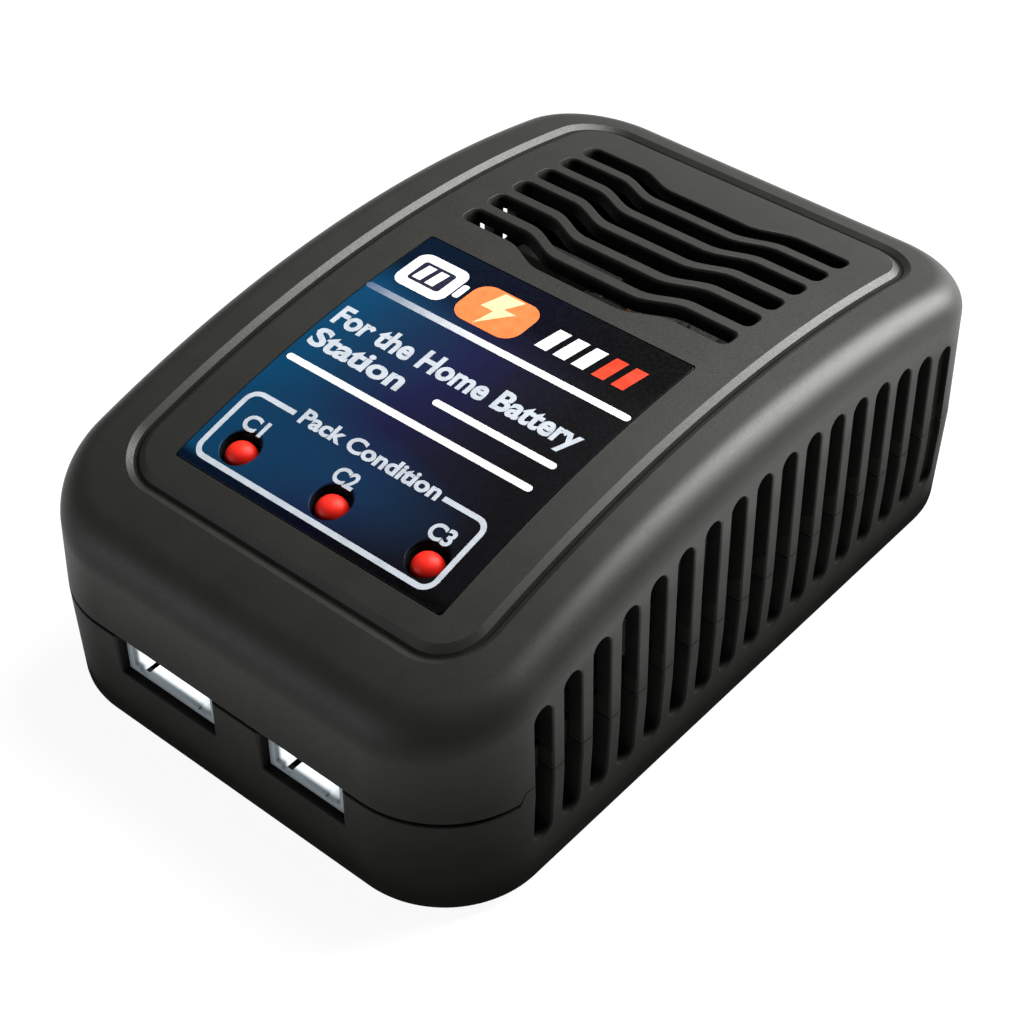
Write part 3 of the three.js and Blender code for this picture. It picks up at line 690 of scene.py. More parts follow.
def roof_slot_outline(y):
    """A wavy slot's outline with rounded corners, anticlockwise."""
    half = ROOF_SLOT_WIDTH / 2
    round_x = ROOF_SLOT_HALF - ROOF_SLOT_END
    round_y = half - ROOF_SLOT_END
    steps = 44
    xs = [lerp(-round_x, round_x, i / steps) for i in range(steps + 1)]
    outline = [(x, y + roof_slot_shift(x) - half) for x in xs]
    outline += arc(round_x, y - round_y, ROOF_SLOT_END, -90, 0, 5)[1:]
    outline += arc(round_x, y + round_y, ROOF_SLOT_END, 0, 90, 5)[:-1]
    outline += [(x, y + roof_slot_shift(x) + half) for x in reversed(xs)]
    outline += arc(-round_x, y + round_y, ROOF_SLOT_END, 90, 180, 5)[1:]
    return outline + arc(-round_x, y - round_y, ROOF_SLOT_END, 180, 270, 5)[:-1]


def roof_slot(y):
    outline = roof_slot_outline(y)
    loops = []
    for offset, depth in mouth(ROOF_SLOT_EDGE) + [(0, COVER_WALL + 3)]:
        loops.append([(px, py, roof(py) - depth) for px, py in offset_outline(outline, offset)])
    return tube_of_loops("roof_slot", loops)


def roof_slots():
    tools = [roof_slot(ROOF_SLOT_FIRST_Y + i * ROOF_SLOT_PITCH) for i in range(ROOF_SLOTS)]
    return together("roof_slots", tools)


def label_sheet(name, grow, low, high, edge=0.0):
    """A thin sheet bent to the arch over the label area, from one height above the roof to another."""
    levels = [(0, low), (0, high - edge), (edge, high)] if edge else [(0, low), (0, high)]
    middle = (LABEL_FRONT + LABEL_BACK) / 2
    half_length = (LABEL_BACK - LABEL_FRONT) / 2 + grow
    rings = []
    for inset, height in levels:
        half = half_outline(
            LABEL_HALF_WIDTH + grow - inset,
            middle - half_length + inset,
            middle + half_length - inset,
            LABEL_CORNER,
            straight_steps=40,
            corner_steps=5,
        )
        rings.append([(x, y, roof(y) + height) for x, y in whole_outline(half)])
    return stacked(name, rings)


def lamp_hole(x):
    surface = roof(LAMP_Y)
    lip = mouth(LAMP_HOLE_EDGE, above=0.4)
    profile = [(0, BOARD_TOP), (LAMP_HOLE, BOARD_TOP)]
    profile += [(LAMP_HOLE + offset, surface - depth) for offset, depth in reversed(lip)]
    profile.append((0, profile[-1][1]))
    hole = moved(turned("lamp_hole", profile), x, LAMP_Y)
    for vertex in hole.data.vertices:
        if vertex.co.z > BOARD_TOP + 1:
            vertex.co.z += roof(vertex.co.y) - surface
    return hole


def lamp_holes():
    return together("lamp_holes", [lamp_hole(x) for x in LAMP_XS])


def corners(x, y):
    return [(-x, -y), (x, -y), (-x, y), (x, y)]


def socket_width(ways):
    return (ways - 1) * SOCKET_PITCH + SOCKET_ENDS


def socket_window(x, ways):
    """The opening in the front wall for one socket, open at its top, with a softened mouth."""
    half = socket_width(ways) / 2 + GAP
    front = -CASE_LENGTH / 2
    top = PARTING_FRONT + 1
    loops = []
    for offset, depth in mouth(WINDOW_EDGE, above=0.5) + [(0, 4)]:
        y = front + wall_inset(front, WINDOW_SILL) + depth
        low = WINDOW_SILL - offset
        wide = half + offset
        loops.append([(x - wide, y, low), (x + wide, y, low), (x + wide, y, top), (x - wide, y, top)])
    return tube_of_loops("socket_window", loops)


def socket_pocket(x, ways):
    half = socket_width(ways) / 2 + GAP
    top = SEAT + SOCKET_HEIGHT + GAP
    return block("pocket", (x - half, SOCKET_FACE - GAP, WINDOW_SILL), (x + half, SOCKET_FACE + 4, top))


def inlet_opening():
    half = INLET_WIDTH / 2 + GAP
    rise = INLET_HEIGHT / 2 + GAP
    back = CASE_LENGTH / 2
    return block("inlet_opening", (-half, back - 4, INLET_Z - rise), (half, back + 1, INLET_Z + rise))


# ---------------------------------------------------------------- shells


def keep_part(piece, wanted):
    """Keeps the loose parts of a mesh whose highest Z passes the test."""
    with editing(piece) as edited:
        left = set(edited.verts)
        while left:
            island = {left.pop()}
            front = set(island)
            while front:
                front = {e.other_vert(v) for v in front for e in v.link_edges} - island
                island |= front
            left -= island
            if not wanted(max(v.co.z for v in island)):
                bmesh.ops.delete(edited, geom=list(island), context="VERTS")


def cover_posts():
    """The hollow posts that take the case screws. They end within the thickness of the roof."""
    posts = []
    for x, y in corners(POST_X, POST_Y):
        top = roof(y + math.copysign(3, y)) - COVER_WALL / 2
        post = bar("post", x, y, POST_RADIUS, PARTING_SIDE, top)
        posts.append(cut(post, bar("post_hole", x, y, POST_PILOT, PARTING_SIDE - 1, top - 1)))
    return together("posts", posts)


def top_cover():
    shell = case_form("cover_shell", 0, 0, EDGE_RADIUS)
    cut(shell, case_form("hollow", COVER_WALL, FLOOR, 0))
    cut(shell, parting_tool())
    keep_part(shell, lambda top: top > PARTING_SIDE + 3)
    join(shell, cover_posts())
    cut(shell, groove_tool())
    cut(shell, label_sheet("recess", LABEL_GAP, -LABEL_RECESS, 1.5))
    cut(shell, lamp_holes(), side_slots(), roof_slots())
    cut(shell, socket_pocket(THREE_CELL_X, 4), socket_pocket(TWO_CELL_X, 3), inlet_opening())
    return shell


def tongue(side):
    outer = CASE_WIDTH / 2 - COVER_WALL - GAP
    xs = sorted((side * outer, side * (outer - TONGUE_THICKNESS)))
    reach = -side_slot_y(0) - 0.5
    piece = block("tongue", (xs[0], -reach, PARTING_SIDE - 1), (xs[1], reach, PARTING_SIDE + TONGUE_HEIGHT))
    return bevelled(piece, 0.3, 3)


def bottom_case():
    shell = case_form("case_shell", 0, 0, EDGE_RADIUS)
    cut(shell, case_form("hollow", CASE_WALL, FLOOR, 0))
    cut(shell, parting_tool())
    keep_part(shell, lambda top: top < PARTING_SIDE + 3)
    top = PARTING_FRONT - 0.5
    posts = [bar("post", x, y, POST_RADIUS, FLOOR - 0.5, top) for x, y in corners(POST_X, POST_Y)]
    join(shell, together("posts", posts))
    cut(shell, side_slots())
    cut(shell, socket_window(THREE_CELL_X, 4), socket_window(TWO_CELL_X, 3), inlet_opening())
    join(shell, tongue(-1), tongue(1))
    head, bore = POST_HEAD_BORE, POST_BORE
    profile = [(0, -1), (head + 0.6, -1), (head, 0.25), (head, POST_HEAD_DEPTH)]
    profile += [(bore, POST_HEAD_DEPTH), (bore, PARTING_SIDE), (0, PARTING_SIDE)]
    bores = [moved(turned("bore", profile), x, y) for x, y in corners(POST_X, POST_Y)]
    recess_radius = FOOT_RADIUS + GAP
    recesses = [bar("recess", x, y, recess_radius, -1, FOOT_RECESS) for x, y in corners(FOOT_X, FOOT_Y)]
    cut(shell, together("bores", bores), together("recesses", recesses))
    return shell


# ---------------------------------------------------------------- lamps and sockets


def lamp(x):
    """A round lamp with a domed tip and a flange."""
    tip = roof(LAMP_Y) + LAMP_PROUD
    base = tip - LAMP_LENGTH
    flange = LAMP_FLANGE
    profile = [(0, base), (flange - 0.1, base), (flange, base + 0.1), (flange, base + 0.9)]
    profile += [(flange - 0.1, base + 1), (LAMP_RADIUS, base + 1)]
    profile += arc(0, tip - LAMP_RADIUS, LAMP_RADIUS, 0, 90, 14)[:-1]
    lens = moved(turned("cell_lamp_lens", profile + [(0, tip)]), x, LAMP_Y)
    half = LAMP_LEG_HALF
    legs = []
    for at in (x - LAMP_LEG_OFFSET, x + LAMP_LEG_OFFSET):
        legs.append(block("leg", (at - half, LAMP_Y - half, SEAT), (at + half, LAMP_Y + half, base - 0.02)))
    return lens, together("cell_lamp_legs", legs)


def socket_shroud(x, ways):
    """A white shroud open at the front, with key slots in its lower wall."""
    half = socket_width(ways) / 2
    back = SOCKET_FACE + SOCKET_DEPTH
    body = block("socket_shroud", (x - half, SOCKET_FACE, SEAT), (x + half, back, SEAT + SOCKET_HEIGHT))
    cavity = block(
        "cavity",
        (x - half + SOCKET_WALL, SOCKET_FACE - 1, SEAT + SOCKET_WALL),
        (x + half - SOCKET_WALL, back - SOCKET_BACK, SEAT + SOCKET_HEIGHT - SOCKET_WALL),
    )
    cut(body, cavity)
    for at, floor_z in ((SOCKET_KEY_INSET - half, -1), (half - SOCKET_KEY_INSET, SOCKET_WALL - 0.2)):
        low = (x + at - SOCKET_KEY_REACH, SOCKET_FACE + SOCKET_RIM, SEAT + floor_z)
        high = (x + at + SOCKET_KEY_REACH, SOCKET_FACE + SOCKET_KEY_LENGTH, SEAT + SOCKET_WALL + 1)
        cut(body, block("key", low, high))
        rim_low = (low[0], SOCKET_FACE - 1, SEAT + max(floor_z, SOCKET_WALL - 0.4))
        cut(body, block("key_front", rim_low, (high[0], low[1] + 0.1, high[2])))
    return bevelled(body, 0.12, 2)


def socket_pin(x):
    """A square pin with a pointed tip that runs back out of the shroud and turns down to the board."""
    middle = SEAT + SOCKET_HEIGHT / 2
    tip = SOCKET_FACE + PIN_TIP
    tail = SOCKET_FACE + SOCKET_DEPTH + PIN_TAIL
    bend = tail - PIN_BEND
    radius = PIN_BEND - PIN_HALF
    path = [(tip, middle, 0.55), (tip + 0.5, middle, 1), (bend, middle, 1)]
    path += [(y, z, 1) for y, z in arc(bend, middle - radius, radius, 90, 0, 6)]
    path.append((tail - PIN_HALF, SEAT, 1))
    loops = []
    for i, (y, z, size) in enumerate(path):
        before = path[max(i - 1, 0)]
        after = path[min(i + 1, len(path) - 1)]
        along = Vector((0, after[0] - before[0], after[1] - before[1])).normalized()
        up = Vector((0, -along.z, along.y))
        side = Vector((1, 0, 0))
        centre = Vector((x, y, z))
        reach = PIN_HALF * size
        loop = [centre + side * a * reach + up * b * reach for a, b in ((-1, -1), (1, -1), (1, 1), (-1, 1))]
        loops.append([tuple(point) for point in loop])
    return tube_of_loops("socket_pin", loops)


# ---------------------------------------------------------------- materials


class Shader:
    """A Principled material whose nodes are added one by one."""

    def __init__(self, name, **values):
        self.material = bpy.data.materials.new(name)
        self.material.use_nodes = True
        self.tree = self.material.node_tree
        self.surface = next(n for n in self.tree.nodes if n.type == "BSDF_PRINCIPLED")
        for label, value in values.items():
            self.surface.inputs[label.replace("_", " ")].default_value = value

    def add(self, kind, inputs=None, **settings):
        node = self.tree.nodes.new(kind)
        for key, value in settings.items():
            setattr(node, key, value)
        for key, value in (inputs or {}).items():
            if isinstance(value, bpy.types.NodeSocket):
                self.tree.links.new(value, node.inputs[key])
            else:
                node.inputs[key].default_value = value
        return node

    def place(self):
        return self.add("ShaderNodeTexCoord").outputs["Object"]

    def axes(self, place):
        """The X, Y and Z of a place."""
        return self.add("ShaderNodeSeparateXYZ", {"Vector": place}).outputs

    def maths(self, operation, first, second):
        return self.add("ShaderNodeMath", {0: first, 1: second}, operation=operation).outputs[0]

    def vector(self, operation, *values):
        return self.add("ShaderNodeVectorMath", dict(enumerate(values)), operation=operation)

    def noise(self, where, scale, detail, rough=0.5):
        inputs = {"Vector": where, "Scale": scale, "Detail": detail, "Roughness": rough}
        return self.add("ShaderNodeTexNoise", inputs).outputs["Fac"]

    def spread(self, value, low, high, start=0.0, end=1.0):
        """Maps a value from one range to another."""
        inputs = {"Value": value, "From Min": start, "From Max": end, "To Min": low, "To Max": high}
        return self.add("ShaderNodeMapRange", inputs).outputs["Result"]

    def blend(self, factor, first, second, mode="MIX"):
        node = self.add("ShaderNodeMix", data_type="RGBA", blend_type=mode)
        for key, value in (("Factor", factor), ("A", first), ("B", second)):
            wanted = "VALUE" if key == "Factor" else "RGBA"
            socket = next(s for s in node.inputs if s.name == key and s.type == wanted and s.enabled)
            if isinstance(value, bpy.types.NodeSocket):
                self.tree.links.new(value, socket)
            else:
                socket.default_value = value
        return next(s for s in node.outputs if s.type == "RGBA")

    def ramp(self, factor, stops):
        node = self.add("ShaderNodeValToRGB", {"Fac": factor})
        elements = node.color_ramp.elements
        while len(elements) < len(stops):
            elements.new(0.5)
        for element, (position, colour) in zip(elements, stops):
            element.position = position
            element.color = (*colour, 1)
        return node.outputs["Color"]

    def greys(self, factor, levels):
        return self.ramp(factor, [(at, (level,) * 3) for at, level in levels])

    def edges(self, radius_m):
        """One on the edges of the piece and nothing on its faces."""
        rounded = self.add("ShaderNodeBevel", {"Radius": radius_m}, samples=4).outputs["Normal"]
        flat = self.add("ShaderNodeNewGeometry").outputs["Normal"]
        match = self.vector("DOT_PRODUCT", rounded, flat).outputs["Value"]
        return self.spread(match, 0.6, 0.0, 0.85, 0.99)

    def bump(self, height, distance_m, strength, under=None):
        inputs = {"Height": height, "Distance": distance_m, "Strength": strength}
        if under is not None:
            inputs["Normal"] = under
        return self.add("ShaderNodeBump", inputs).outputs["Normal"]

    def link(self, output, label):
        self.tree.links.new(output, self.surface.inputs[label])

    def finish(self, colour, grain, smooth, rough, relief_m, strength=0.5):
        """Sets the colour, and a roughness and a relief that follow the grain."""
        self.link(colour, "Base Color")
        self.link(self.spread(grain, smooth, rough, 0.3, 0.7), "Roughness")
        self.link(self.bump(grain, relief_m, strength), "Normal")


# Painted shade (base colour darkened low on the wall) and gloss of the matt foot, by share of the case's
# height
PAINTED_LOW_SHADE = [(0.05, 0.45), (0.45, 0.85), (0.8, 1)]
MATT_GLOSS = [(0.1, 0), (0.25, 0.01), (0.45, 0.035), (0.72, 0.15), (0.78, 0.30), (0.87, 0.36), (0.97, 0.44)]


def moulded(name, dark, light, roughness, grain_m, bump_m, gloss=0.5, matt_foot_painted_shade=False):
    """A moulded plastic: mottled colour, fine grain, and edges a little paler from handling.

    With a matt foot it is dull, its colour is darkened low on the wall as painted shade, and it gets its
    gloss near the roof."""
    shader = Shader(name, Specular_IOR_Level=gloss)
    place = shader.place()
    patches = shader.noise(place, 260, 4)
    grain = shader.noise(place, 1 / grain_m, 2, 0.6)
    colour = shader.ramp(patches, [(0.35, dark), (0.65, light)])
    pale = tuple(min(1, c * 1.5) for c in light)
    colour = shader.blend(shader.edges(0.00018), colour, (*pale, 1))
    if matt_foot_painted_shade:
        rise = shader.spread(shader.axes(place)["Z"], 0, 1, 0, 0.034)
        # Painted shade: the colour is multiplied darker low on the wall
        colour = shader.blend(1.0, colour, shader.greys(rise, PAINTED_LOW_SHADE), "MULTIPLY")
        shader.link(shader.greys(rise, MATT_GLOSS), "Specular IOR Level")
    shader.link(colour, "Base Color")
    shader.link(shader.spread(grain, roughness - 0.05, roughness + 0.07, 0.3, 0.7), "Roughness")
    ripple = shader.bump(patches, 0.00001, 0.4)
    shader.link(shader.bump(grain, bump_m, 0.6, ripple), "Normal")
    return shader.material


# Painted shade: a darker charcoal for faces under the skin, in slots, recesses, the groove's bottom and
# inside the shell
def shaded_charcoal_inside():
    dark = (0.006, 0.006, 0.0055)
    light = (0.009, 0.009, 0.008)
    return moulded("shaded_charcoal_inside", dark, light, 0.75, 0.0004, 0.00002, gloss=0.1)


def charcoal_plastic():
    dark = (0.0190, 0.0187, 0.0172)
    light = (0.0218, 0.0215, 0.0198)
    return moulded("charcoal_plastic", dark, light, 0.44, 0.00022, 0.00001, matt_foot_painted_shade=True)


def inlet_black():
    dark = (0.006, 0.006, 0.006)
    light = (0.009, 0.009, 0.009)
    return moulded("inlet_black", dark, light, 0.45, 0.0003, 0.00001, gloss=0.25)


def label_film():
    """Film printed blue at its left and round the lamps, fading through violet to black."""
    shader = Shader("label_film", Specular_IOR_Level=0.1)
    place = shader.place()
    axes = shader.axes(place)
    haze = shader.noise(place, 70, 2)
    across = shader.spread(axes["X"], -0.15, 0.85, -LABEL_HALF_WIDTH * MM, LABEL_HALF_WIDTH * MM)
    drift = shader.maths("MULTIPLY", haze, 0.30)
    stops = [
        (0.02, (0.002, 0.042, 0.105)),
        (0.25, (0.005, 0.024, 0.065)),
        (0.47, (0.008, 0.009, 0.042)),
        (0.66, (0.006, 0.006, 0.016)),
        (0.90, (0.003, 0.003, 0.004)),
    ]
    fade = shader.ramp(shader.maths("ADD", across, drift), stops)
    from_glow = shader.vector("SUBTRACT", place, (-0.003, -0.026, 0.0285)).outputs[0]
    squeezed = shader.vector("MULTIPLY", from_glow, (60, 150, 0)).outputs[0]
    glow = shader.spread(shader.vector("LENGTH", squeezed).outputs["Value"], 0.7, 0.0, 0.1, 1.0)
    lit = shader.blend(glow, fade, (0.004, 0.034, 0.085, 1))
    along = shader.spread(axes["Y"], 0, 1, LABEL_FRONT * MM, LABEL_BACK * MM)
    dark = (0.12, 0.12, 0.16)
    ends = shader.ramp(along, [(0.02, dark), (0.045, (1, 1, 1)), (0.74, (1, 1, 1)), (0.86, dark)])
    colour = shader.blend(1.0, lit, ends, "MULTIPLY")
    shader.finish(colour, shader.noise(place, 2600, 2), 0.34, 0.46, 0.000004, 0.4)
    return shader.material


def ink(name, colour, other=None):
    """Screen-printed ink, slightly uneven, that fades from the other colour to its own along X."""
    shader = Shader(name, Specular_IOR_Level=0.35)
    place = shader.place()
    cloud = shader.noise(place, 900, 3)
    dull = tuple(c * 0.86 for c in colour)
    tone = shader.ramp(cloud, [(0.3, dull), (0.6, colour)])
    if other:
        along = shader.spread(shader.axes(place)["X"], 0, 1, -LABEL_HALF_WIDTH * MM, 0.003)
        tone = shader.blend(along, (*other, 1), tone)
    shader.finish(tone, cloud, 0.35, 0.5, 0.00001)
    return shader.material


def lens_red():
    """A frosted red lens that glows softly at its tip, its sides painted darker as shade."""
    shader = Shader("lens_red", Specular_IOR_Level=0.16)
    place = shader.place()
    tip = (roof(LAMP_Y) + LAMP_PROUD + STAND) * MM
    rise = shader.spread(shader.axes(place)["Z"], 0, 1, tip - 0.0019, tip)
    # Painted shade: the red darkens down the lens's sides
    reds_with_painted_shade = [(0.0, (0.03, 0.001, 0.001)), (0.55, (0.38, 0.005, 0.003)), (1.0, (0.70, 0.014, 0.008))]
    body = shader.ramp(rise, reds_with_painted_shade)
    cloud = shader.noise(place, 700, 2)
    shader.link(shader.blend(shader.spread(cloud, 0, 0.2), body, (1.0, 0.05, 0.02, 1)), "Base Color")
    glow = shader.ramp(rise, [(0.25, (0, 0, 0)), (0.7, (0.22, 0.003, 0.002)), (1.0, (0.85, 0.045, 0.03))])
    shader.link(glow, "Emission Color")
    shader.surface.inputs["Emission Strength"].default_value = 0.4
    shader.link(shader.spread(cloud, 0.38, 0.5), "Roughness")
    return shader.material


def white_nylon(name, right_end):
    """Natural nylon with painted light: an emission glow painted inside its cavity that fades to painted
    shadow near its right end, and painted shade on its front face.
    """
    shader = Shader(name, Specular_IOR_Level=0.4)
    place = shader.place()
    cloud = shader.noise(place, 500, 3)
    tone = shader.ramp(cloud, [(0.3, (0.74, 0.78, 0.80)), (0.7, (0.80, 0.83, 0.84))])
    axes = shader.axes(place)
    # Painted light: inside the cavity the nylon glows, and at its front face it is painted a shaded
    # grey-blue
    inside = shader.spread(axes["Y"], 0.0, 1.0, (SOCKET_FACE + 0.4) * MM, (SOCKET_FACE + 0.9) * MM)
    # Painted shadow: the glow fades out near the cavity's right end
    glow_until_shaded_end = shader.spread(axes["X"], 0.75, 0.05, (right_end - 3.2) * MM, (right_end - 1.8) * MM)
    shader.link(shader.maths("MULTIPLY", inside, glow_until_shaded_end), "Emission Strength")
    shader.surface.inputs["Emission Color"].default_value = (0.92, 0.97, 1.0, 1)
    shader.finish(shader.blend(inside, (0.20, 0.23, 0.25, 1), tone), cloud, 0.36, 0.5, 0.00001)
    return shader.material


def plated(name, colour, roughness=0.24):
    shader = Shader(name, Metallic=1.0)
    cloud = shader.noise(shader.place(), 1500, 3)
    dull = tuple(c * 0.75 for c in colour)
    tone = shader.ramp(cloud, [(0.3, dull), (0.65, colour)])
    shader.finish(tone, cloud, roughness - 0.06, roughness + 0.12, 0.00001)
    return shader.material


def board_green():
    """Solder mask with the faint relief of copper tracks under it."""
    shader = Shader("board_green", Coat_Weight=0.3, Coat_Roughness=0.2)
    place = shader.place()
    tracks = shader.add("ShaderNodeTexBrick", {"Vector": place, "Scale": 160.0, "Mortar Size": 0.03})
    cloud = shader.noise(place, 300, 3)
    bare = shader.ramp(cloud, [(0.3, (0.008, 0.075, 0.028)), (0.7, (0.013, 0.11, 0.042))])
    over = shader.spread(tracks.outputs["Fac"], 0.0, 0.6)
    shader.link(shader.blend(over, bare, (0.03, 0.16, 0.06, 1)), "Base Color")
    shader.link(shader.spread(cloud, 0.3, 0.45), "Roughness")
    shader.link(shader.bump(tracks.outputs["Fac"], 0.00003, 0.5), "Normal")
    return shader.material


def wound_wire(name, dark, light):
    """Turns of enamelled wire lying side by side."""
    shader = Shader(name, Coat_Weight=0.4, Coat_Roughness=0.15)
    inputs = {"Vector": shader.place(), "Scale": 2600, "Distortion": 0.6}
    turns = shader.add("ShaderNodeTexWave", inputs, bands_direction="Z").outputs["Fac"]
    shader.link(shader.ramp(turns, [(0.1, dark), (0.7, light)]), "Base Color")
    shader.link(shader.spread(turns, 0.5, 0.25), "Roughness")
    shader.link(shader.bump(turns, 0.00006, 0.8), "Normal")
    return shader.material


def plain_finish(name, dark, light, roughness):
    """A mottled, lightly textured finish for the feet and the parts on the board."""
    shader = Shader(name)
    cloud = shader.noise(shader.place(), 2500, 3)
    tone = shader.ramp(cloud, [(0.3, dark), (0.7, light)])
    shader.finish(tone, cloud, roughness - 0.06, roughness + 0.08, 0.00002, 0.6)
    return shader.material


# ---------------------------------------------------------------- printed marks on the label


def filled(name, outlines):
    """Flat shapes on the XY plane from closed outlines."""
    points = []
    faces = []
    for outline in outlines:
        first = len(points)
        points += [(x, y, 0) for x, y in outline]
        faces.append(tuple(range(first, first + len(outline))))
    return make_piece(name, points, faces)


def printed(piece, lift):
    """Lays a flat shape on the label film: cut finely along Y, thickened and bent to the arch."""
    bottom = LABEL_TOP - 0.01 + lift
    with editing(piece) as edited:
        bmesh.ops.remove_doubles(edited, verts=edited.verts, dist=0.0005)
        ys = [v.co.y for v in edited.verts]
        for y in range(math.floor(min(ys)), math.ceil(max(ys))):
            geometry = edited.verts[:] + edited.edges[:] + edited.faces[:]
            bmesh.ops.bisect_plane(edited, geom=geometry, plane_co=(0, y, 0), plane_no=(0, 1, 0), dist=1e-4)
        for face in edited.faces:
            if face.normal.z < 0:
                face.normal_flip()
        raised = bmesh.ops.extrude_face_region(edited, geom=edited.faces[:])
        top = {v for v in raised["geom"] if isinstance(v, bmesh.types.BMVert)}
        for v in edited.verts:
            v.co.z = roof(v.co.y) + bottom + (INK_THICKNESS if v in top else 0)
        bmesh.ops.recalc_face_normals(edited, faces=edited.faces)
    return piece


def mark(piece, material, lift=0.0):
    return settle(printed(piece, lift), material, "label_print", crease=40)


def capsule(x0, x1, y, width):
    """A straight stripe along X with round ends."""
    r = width / 2
    return arc(x1 - r, y, r, -90, 90) + arc(x0 + r, y, r, 90, 270)


def stripe(name, path, width):
    """A flat stripe that follows a path, with square ends."""
    points = []
    for i, point in enumerate(path):
        before = Vector(path[max(i - 1, 0)])
        after = Vector(path[min(i + 1, len(path) - 1)])
        along = (after - before).normalized()
        side = Vector((-along.y, along.x)) * width / 2
        points += [(*(Vector(point) + side), 0), (*(Vector(point) - side), 0)]
    faces = [(2 * i, 2 * i + 1, 2 * i + 3, 2 * i + 2) for i in range(len(path) - 1)]
    return make_piece(name, points, faces)


def lettering(name, words, left, right, baseline, cap_height):
    """Generic lettering, scaled to run from left to right with its capitals at a given height."""
    curve = bpy.data.curves.new(name, "FONT")
    curve.body = words
    curve.offset = LETTER_WEIGHT
    curve.resolution_u = 4
    holder = in_scene(name, curve)
    graph = bpy.context.evaluated_depsgraph_get()
    mesh = bpy.data.meshes.new_from_object(holder.evaluated_get(graph))
    bpy.data.objects.remove(holder)
    bpy.data.curves.remove(curve)
    xs = [v.co.x for v in mesh.vertices]
    wide = (right - left) / (max(xs) - min(xs))
    tall = cap_height / FONT_CAPITAL
    for v in mesh.vertices:
        v.co = ((v.co.x - min(xs)) * wide + left, v.co.y * tall + baseline, 0)
    return in_scene(name, mesh)


def slanted_block(x0, x1, low, high, lean):
    return [(x0, low), (x1, low), (x1 + lean, high), (x0 + lean, high)]


def rounded_plate(x0, x1, low, high, radius):
    return (
        arc(x1 - radius, low + radius, radius, -90, 0)
        + arc(x1 - radius, high - radius, radius, 0, 90)
        + arc(x0 + radius, high - radius, radius, 90, 180)
        + arc(x0 + radius, low + radius, radius, 180, 270)
    )


BOLT = [(-0.9, -3.0), (1.9, 0.55), (0.35, 0.55), (1.5, 2.7), (-1.1, 2.7), (-2.0, -0.35), (-0.35, -0.35)]


def battery_mark():
    """A battery lying on its side, drawn as a thick outline with a nub and two charge blocks."""
    outer = rounded_plate(-15.7, -9.1, -3.4, 2.2, 1.3)
    body = filled("battery_mark", [outer, rounded_plate(-8.9, -8.1, -1.7, 0.5, 0.3)])
    window = filled("battery_window", [rounded_plate(-14.5, -10.3, -2.2, 1.0, 0.4)])
    charge = filled("battery_charge", [slanted_block(x, x + 1.1, -1.8, 0.6, 0.3) for x in (-14.1, -12.4)])
    return body, window, charge


def lamp_box():
    """The rounded box round the lamps, open in its rear line for a title."""
    rear = -22.7
    box = rounded_plate(-15.8, 14.4, -31.2, rear, 1.3)
    half = len(box) // 2
    return stripe("lamp_box", [(-10.3, rear)] + box[half:] + box[:half] + [(8.8, rear)], 0.58)


# ---------------------------------------------------------------- build the outside

PLASTIC = charcoal_plastic()
WHITE_INK = ink("white_ink", (0.82, 0.82, 0.84))
FADING_INK = ink("fading_ink", (0.86, 0.86, 0.88), (0.06, 0.11, 0.20))
SILVER_INK = ink("silver_ink", (0.50, 0.54, 0.61))
ORANGE_INK = ink("orange_ink", (0.86, 0.20, 0.055))
CREAM_INK = ink("cream_ink", (0.93, 0.62, 0.36))
RED_INK = ink("red_ink", (0.72, 0.045, 0.015))
DARK_INK = ink("dark_ink", (0.008, 0.010, 0.030))

PAINTED_SHADE_INSIDE = shaded_charcoal_inside()
SKINS = [Skin(case_form("skin", 0, 0, EDGE_RADIUS)), Skin(groove_tool(), side=-1)]
for node, shell in (("top_cover", top_cover()), ("bottom_case", bottom_case())):
    settle_shell(shell, SKINS, PLASTIC, PAINTED_SHADE_INSIDE, "case_plastic", node)

film = label_sheet("label_film_sheet", 0, LABEL_TOP - LABEL_THICKNESS, LABEL_TOP, edge=0.05)
cut(film, lamp_holes())
shade_as_roof(settle(film, label_film(), "label_print", "label_overlay"))


mark(filled("header_line", [capsule(-17.0, 16.8, -5.3, 0.85)]), FADING_INK)
mark(filled("short_line", [capsule(-0.1, 15.1, -14.15, 0.8)]), WHITE_INK)
mark(filled("long_line", [capsule(-16.4, 15.0, -17.5, 0.8)]), WHITE_INK)
mark(lamp_box(), SILVER_INK)
mark(lettering("text_row_1", "For the Home Battery", -16.2, 15.0, -11.6, 2.55), SILVER_INK)
mark(lettering("text_row_2", "Station", -16.2, -4.0, -15.15, 2.45), SILVER_INK)
mark(lettering("box_title", "Pack Condition", -9.5, 8.3, -23.3, 1.75), SILVER_INK)
for number, x in zip("123", LAMP_XS):
    mark(lettering(f"cell_number_{number}", "C" + number, x - 2.0, x + 0.8, -26.7, 1.75), SILVER_INK)

battery, battery_window, battery_charge = battery_mark()
mark(battery, WHITE_INK)
mark(battery_window, DARK_INK, 0.012)
mark(battery_charge, WHITE_INK, 0.024)
mark(filled("orange_plate", [rounded_plate(-7.6, 0.6, -3.8, 2.1, 1.9)]), ORANGE_INK)
mark(filled("orange_bolt", [[(x - 3.5, y * 0.95 - 0.7) for x, y in BOLT]]), CREAM_INK, 0.012)
LEVELS = [("level_white", WHITE_INK, (2.7, 5.0, 7.3)), ("level_red", RED_INK, (9.8, 12.2))]
for name, colour, starts in LEVELS:
    mark(filled(name, [slanted_block(x, x + 1.5, -2.5, 0.9, 0.55) for x in starts]), colour)

RED = lens_red()
TIN = plated("bright_tin", (0.74, 0.72, 0.67))
for i, x in enumerate(LAMP_XS):
    lens, legs = lamp(x)
    lens.name = f"lamp_lens_{i + 1}"
    legs.name = f"lamp_legs_{i + 1}"
    settle(lens, RED, "red_lens", f"cell_lamp_{i + 1}")
    settle(legs, TIN, "tinned_pin")

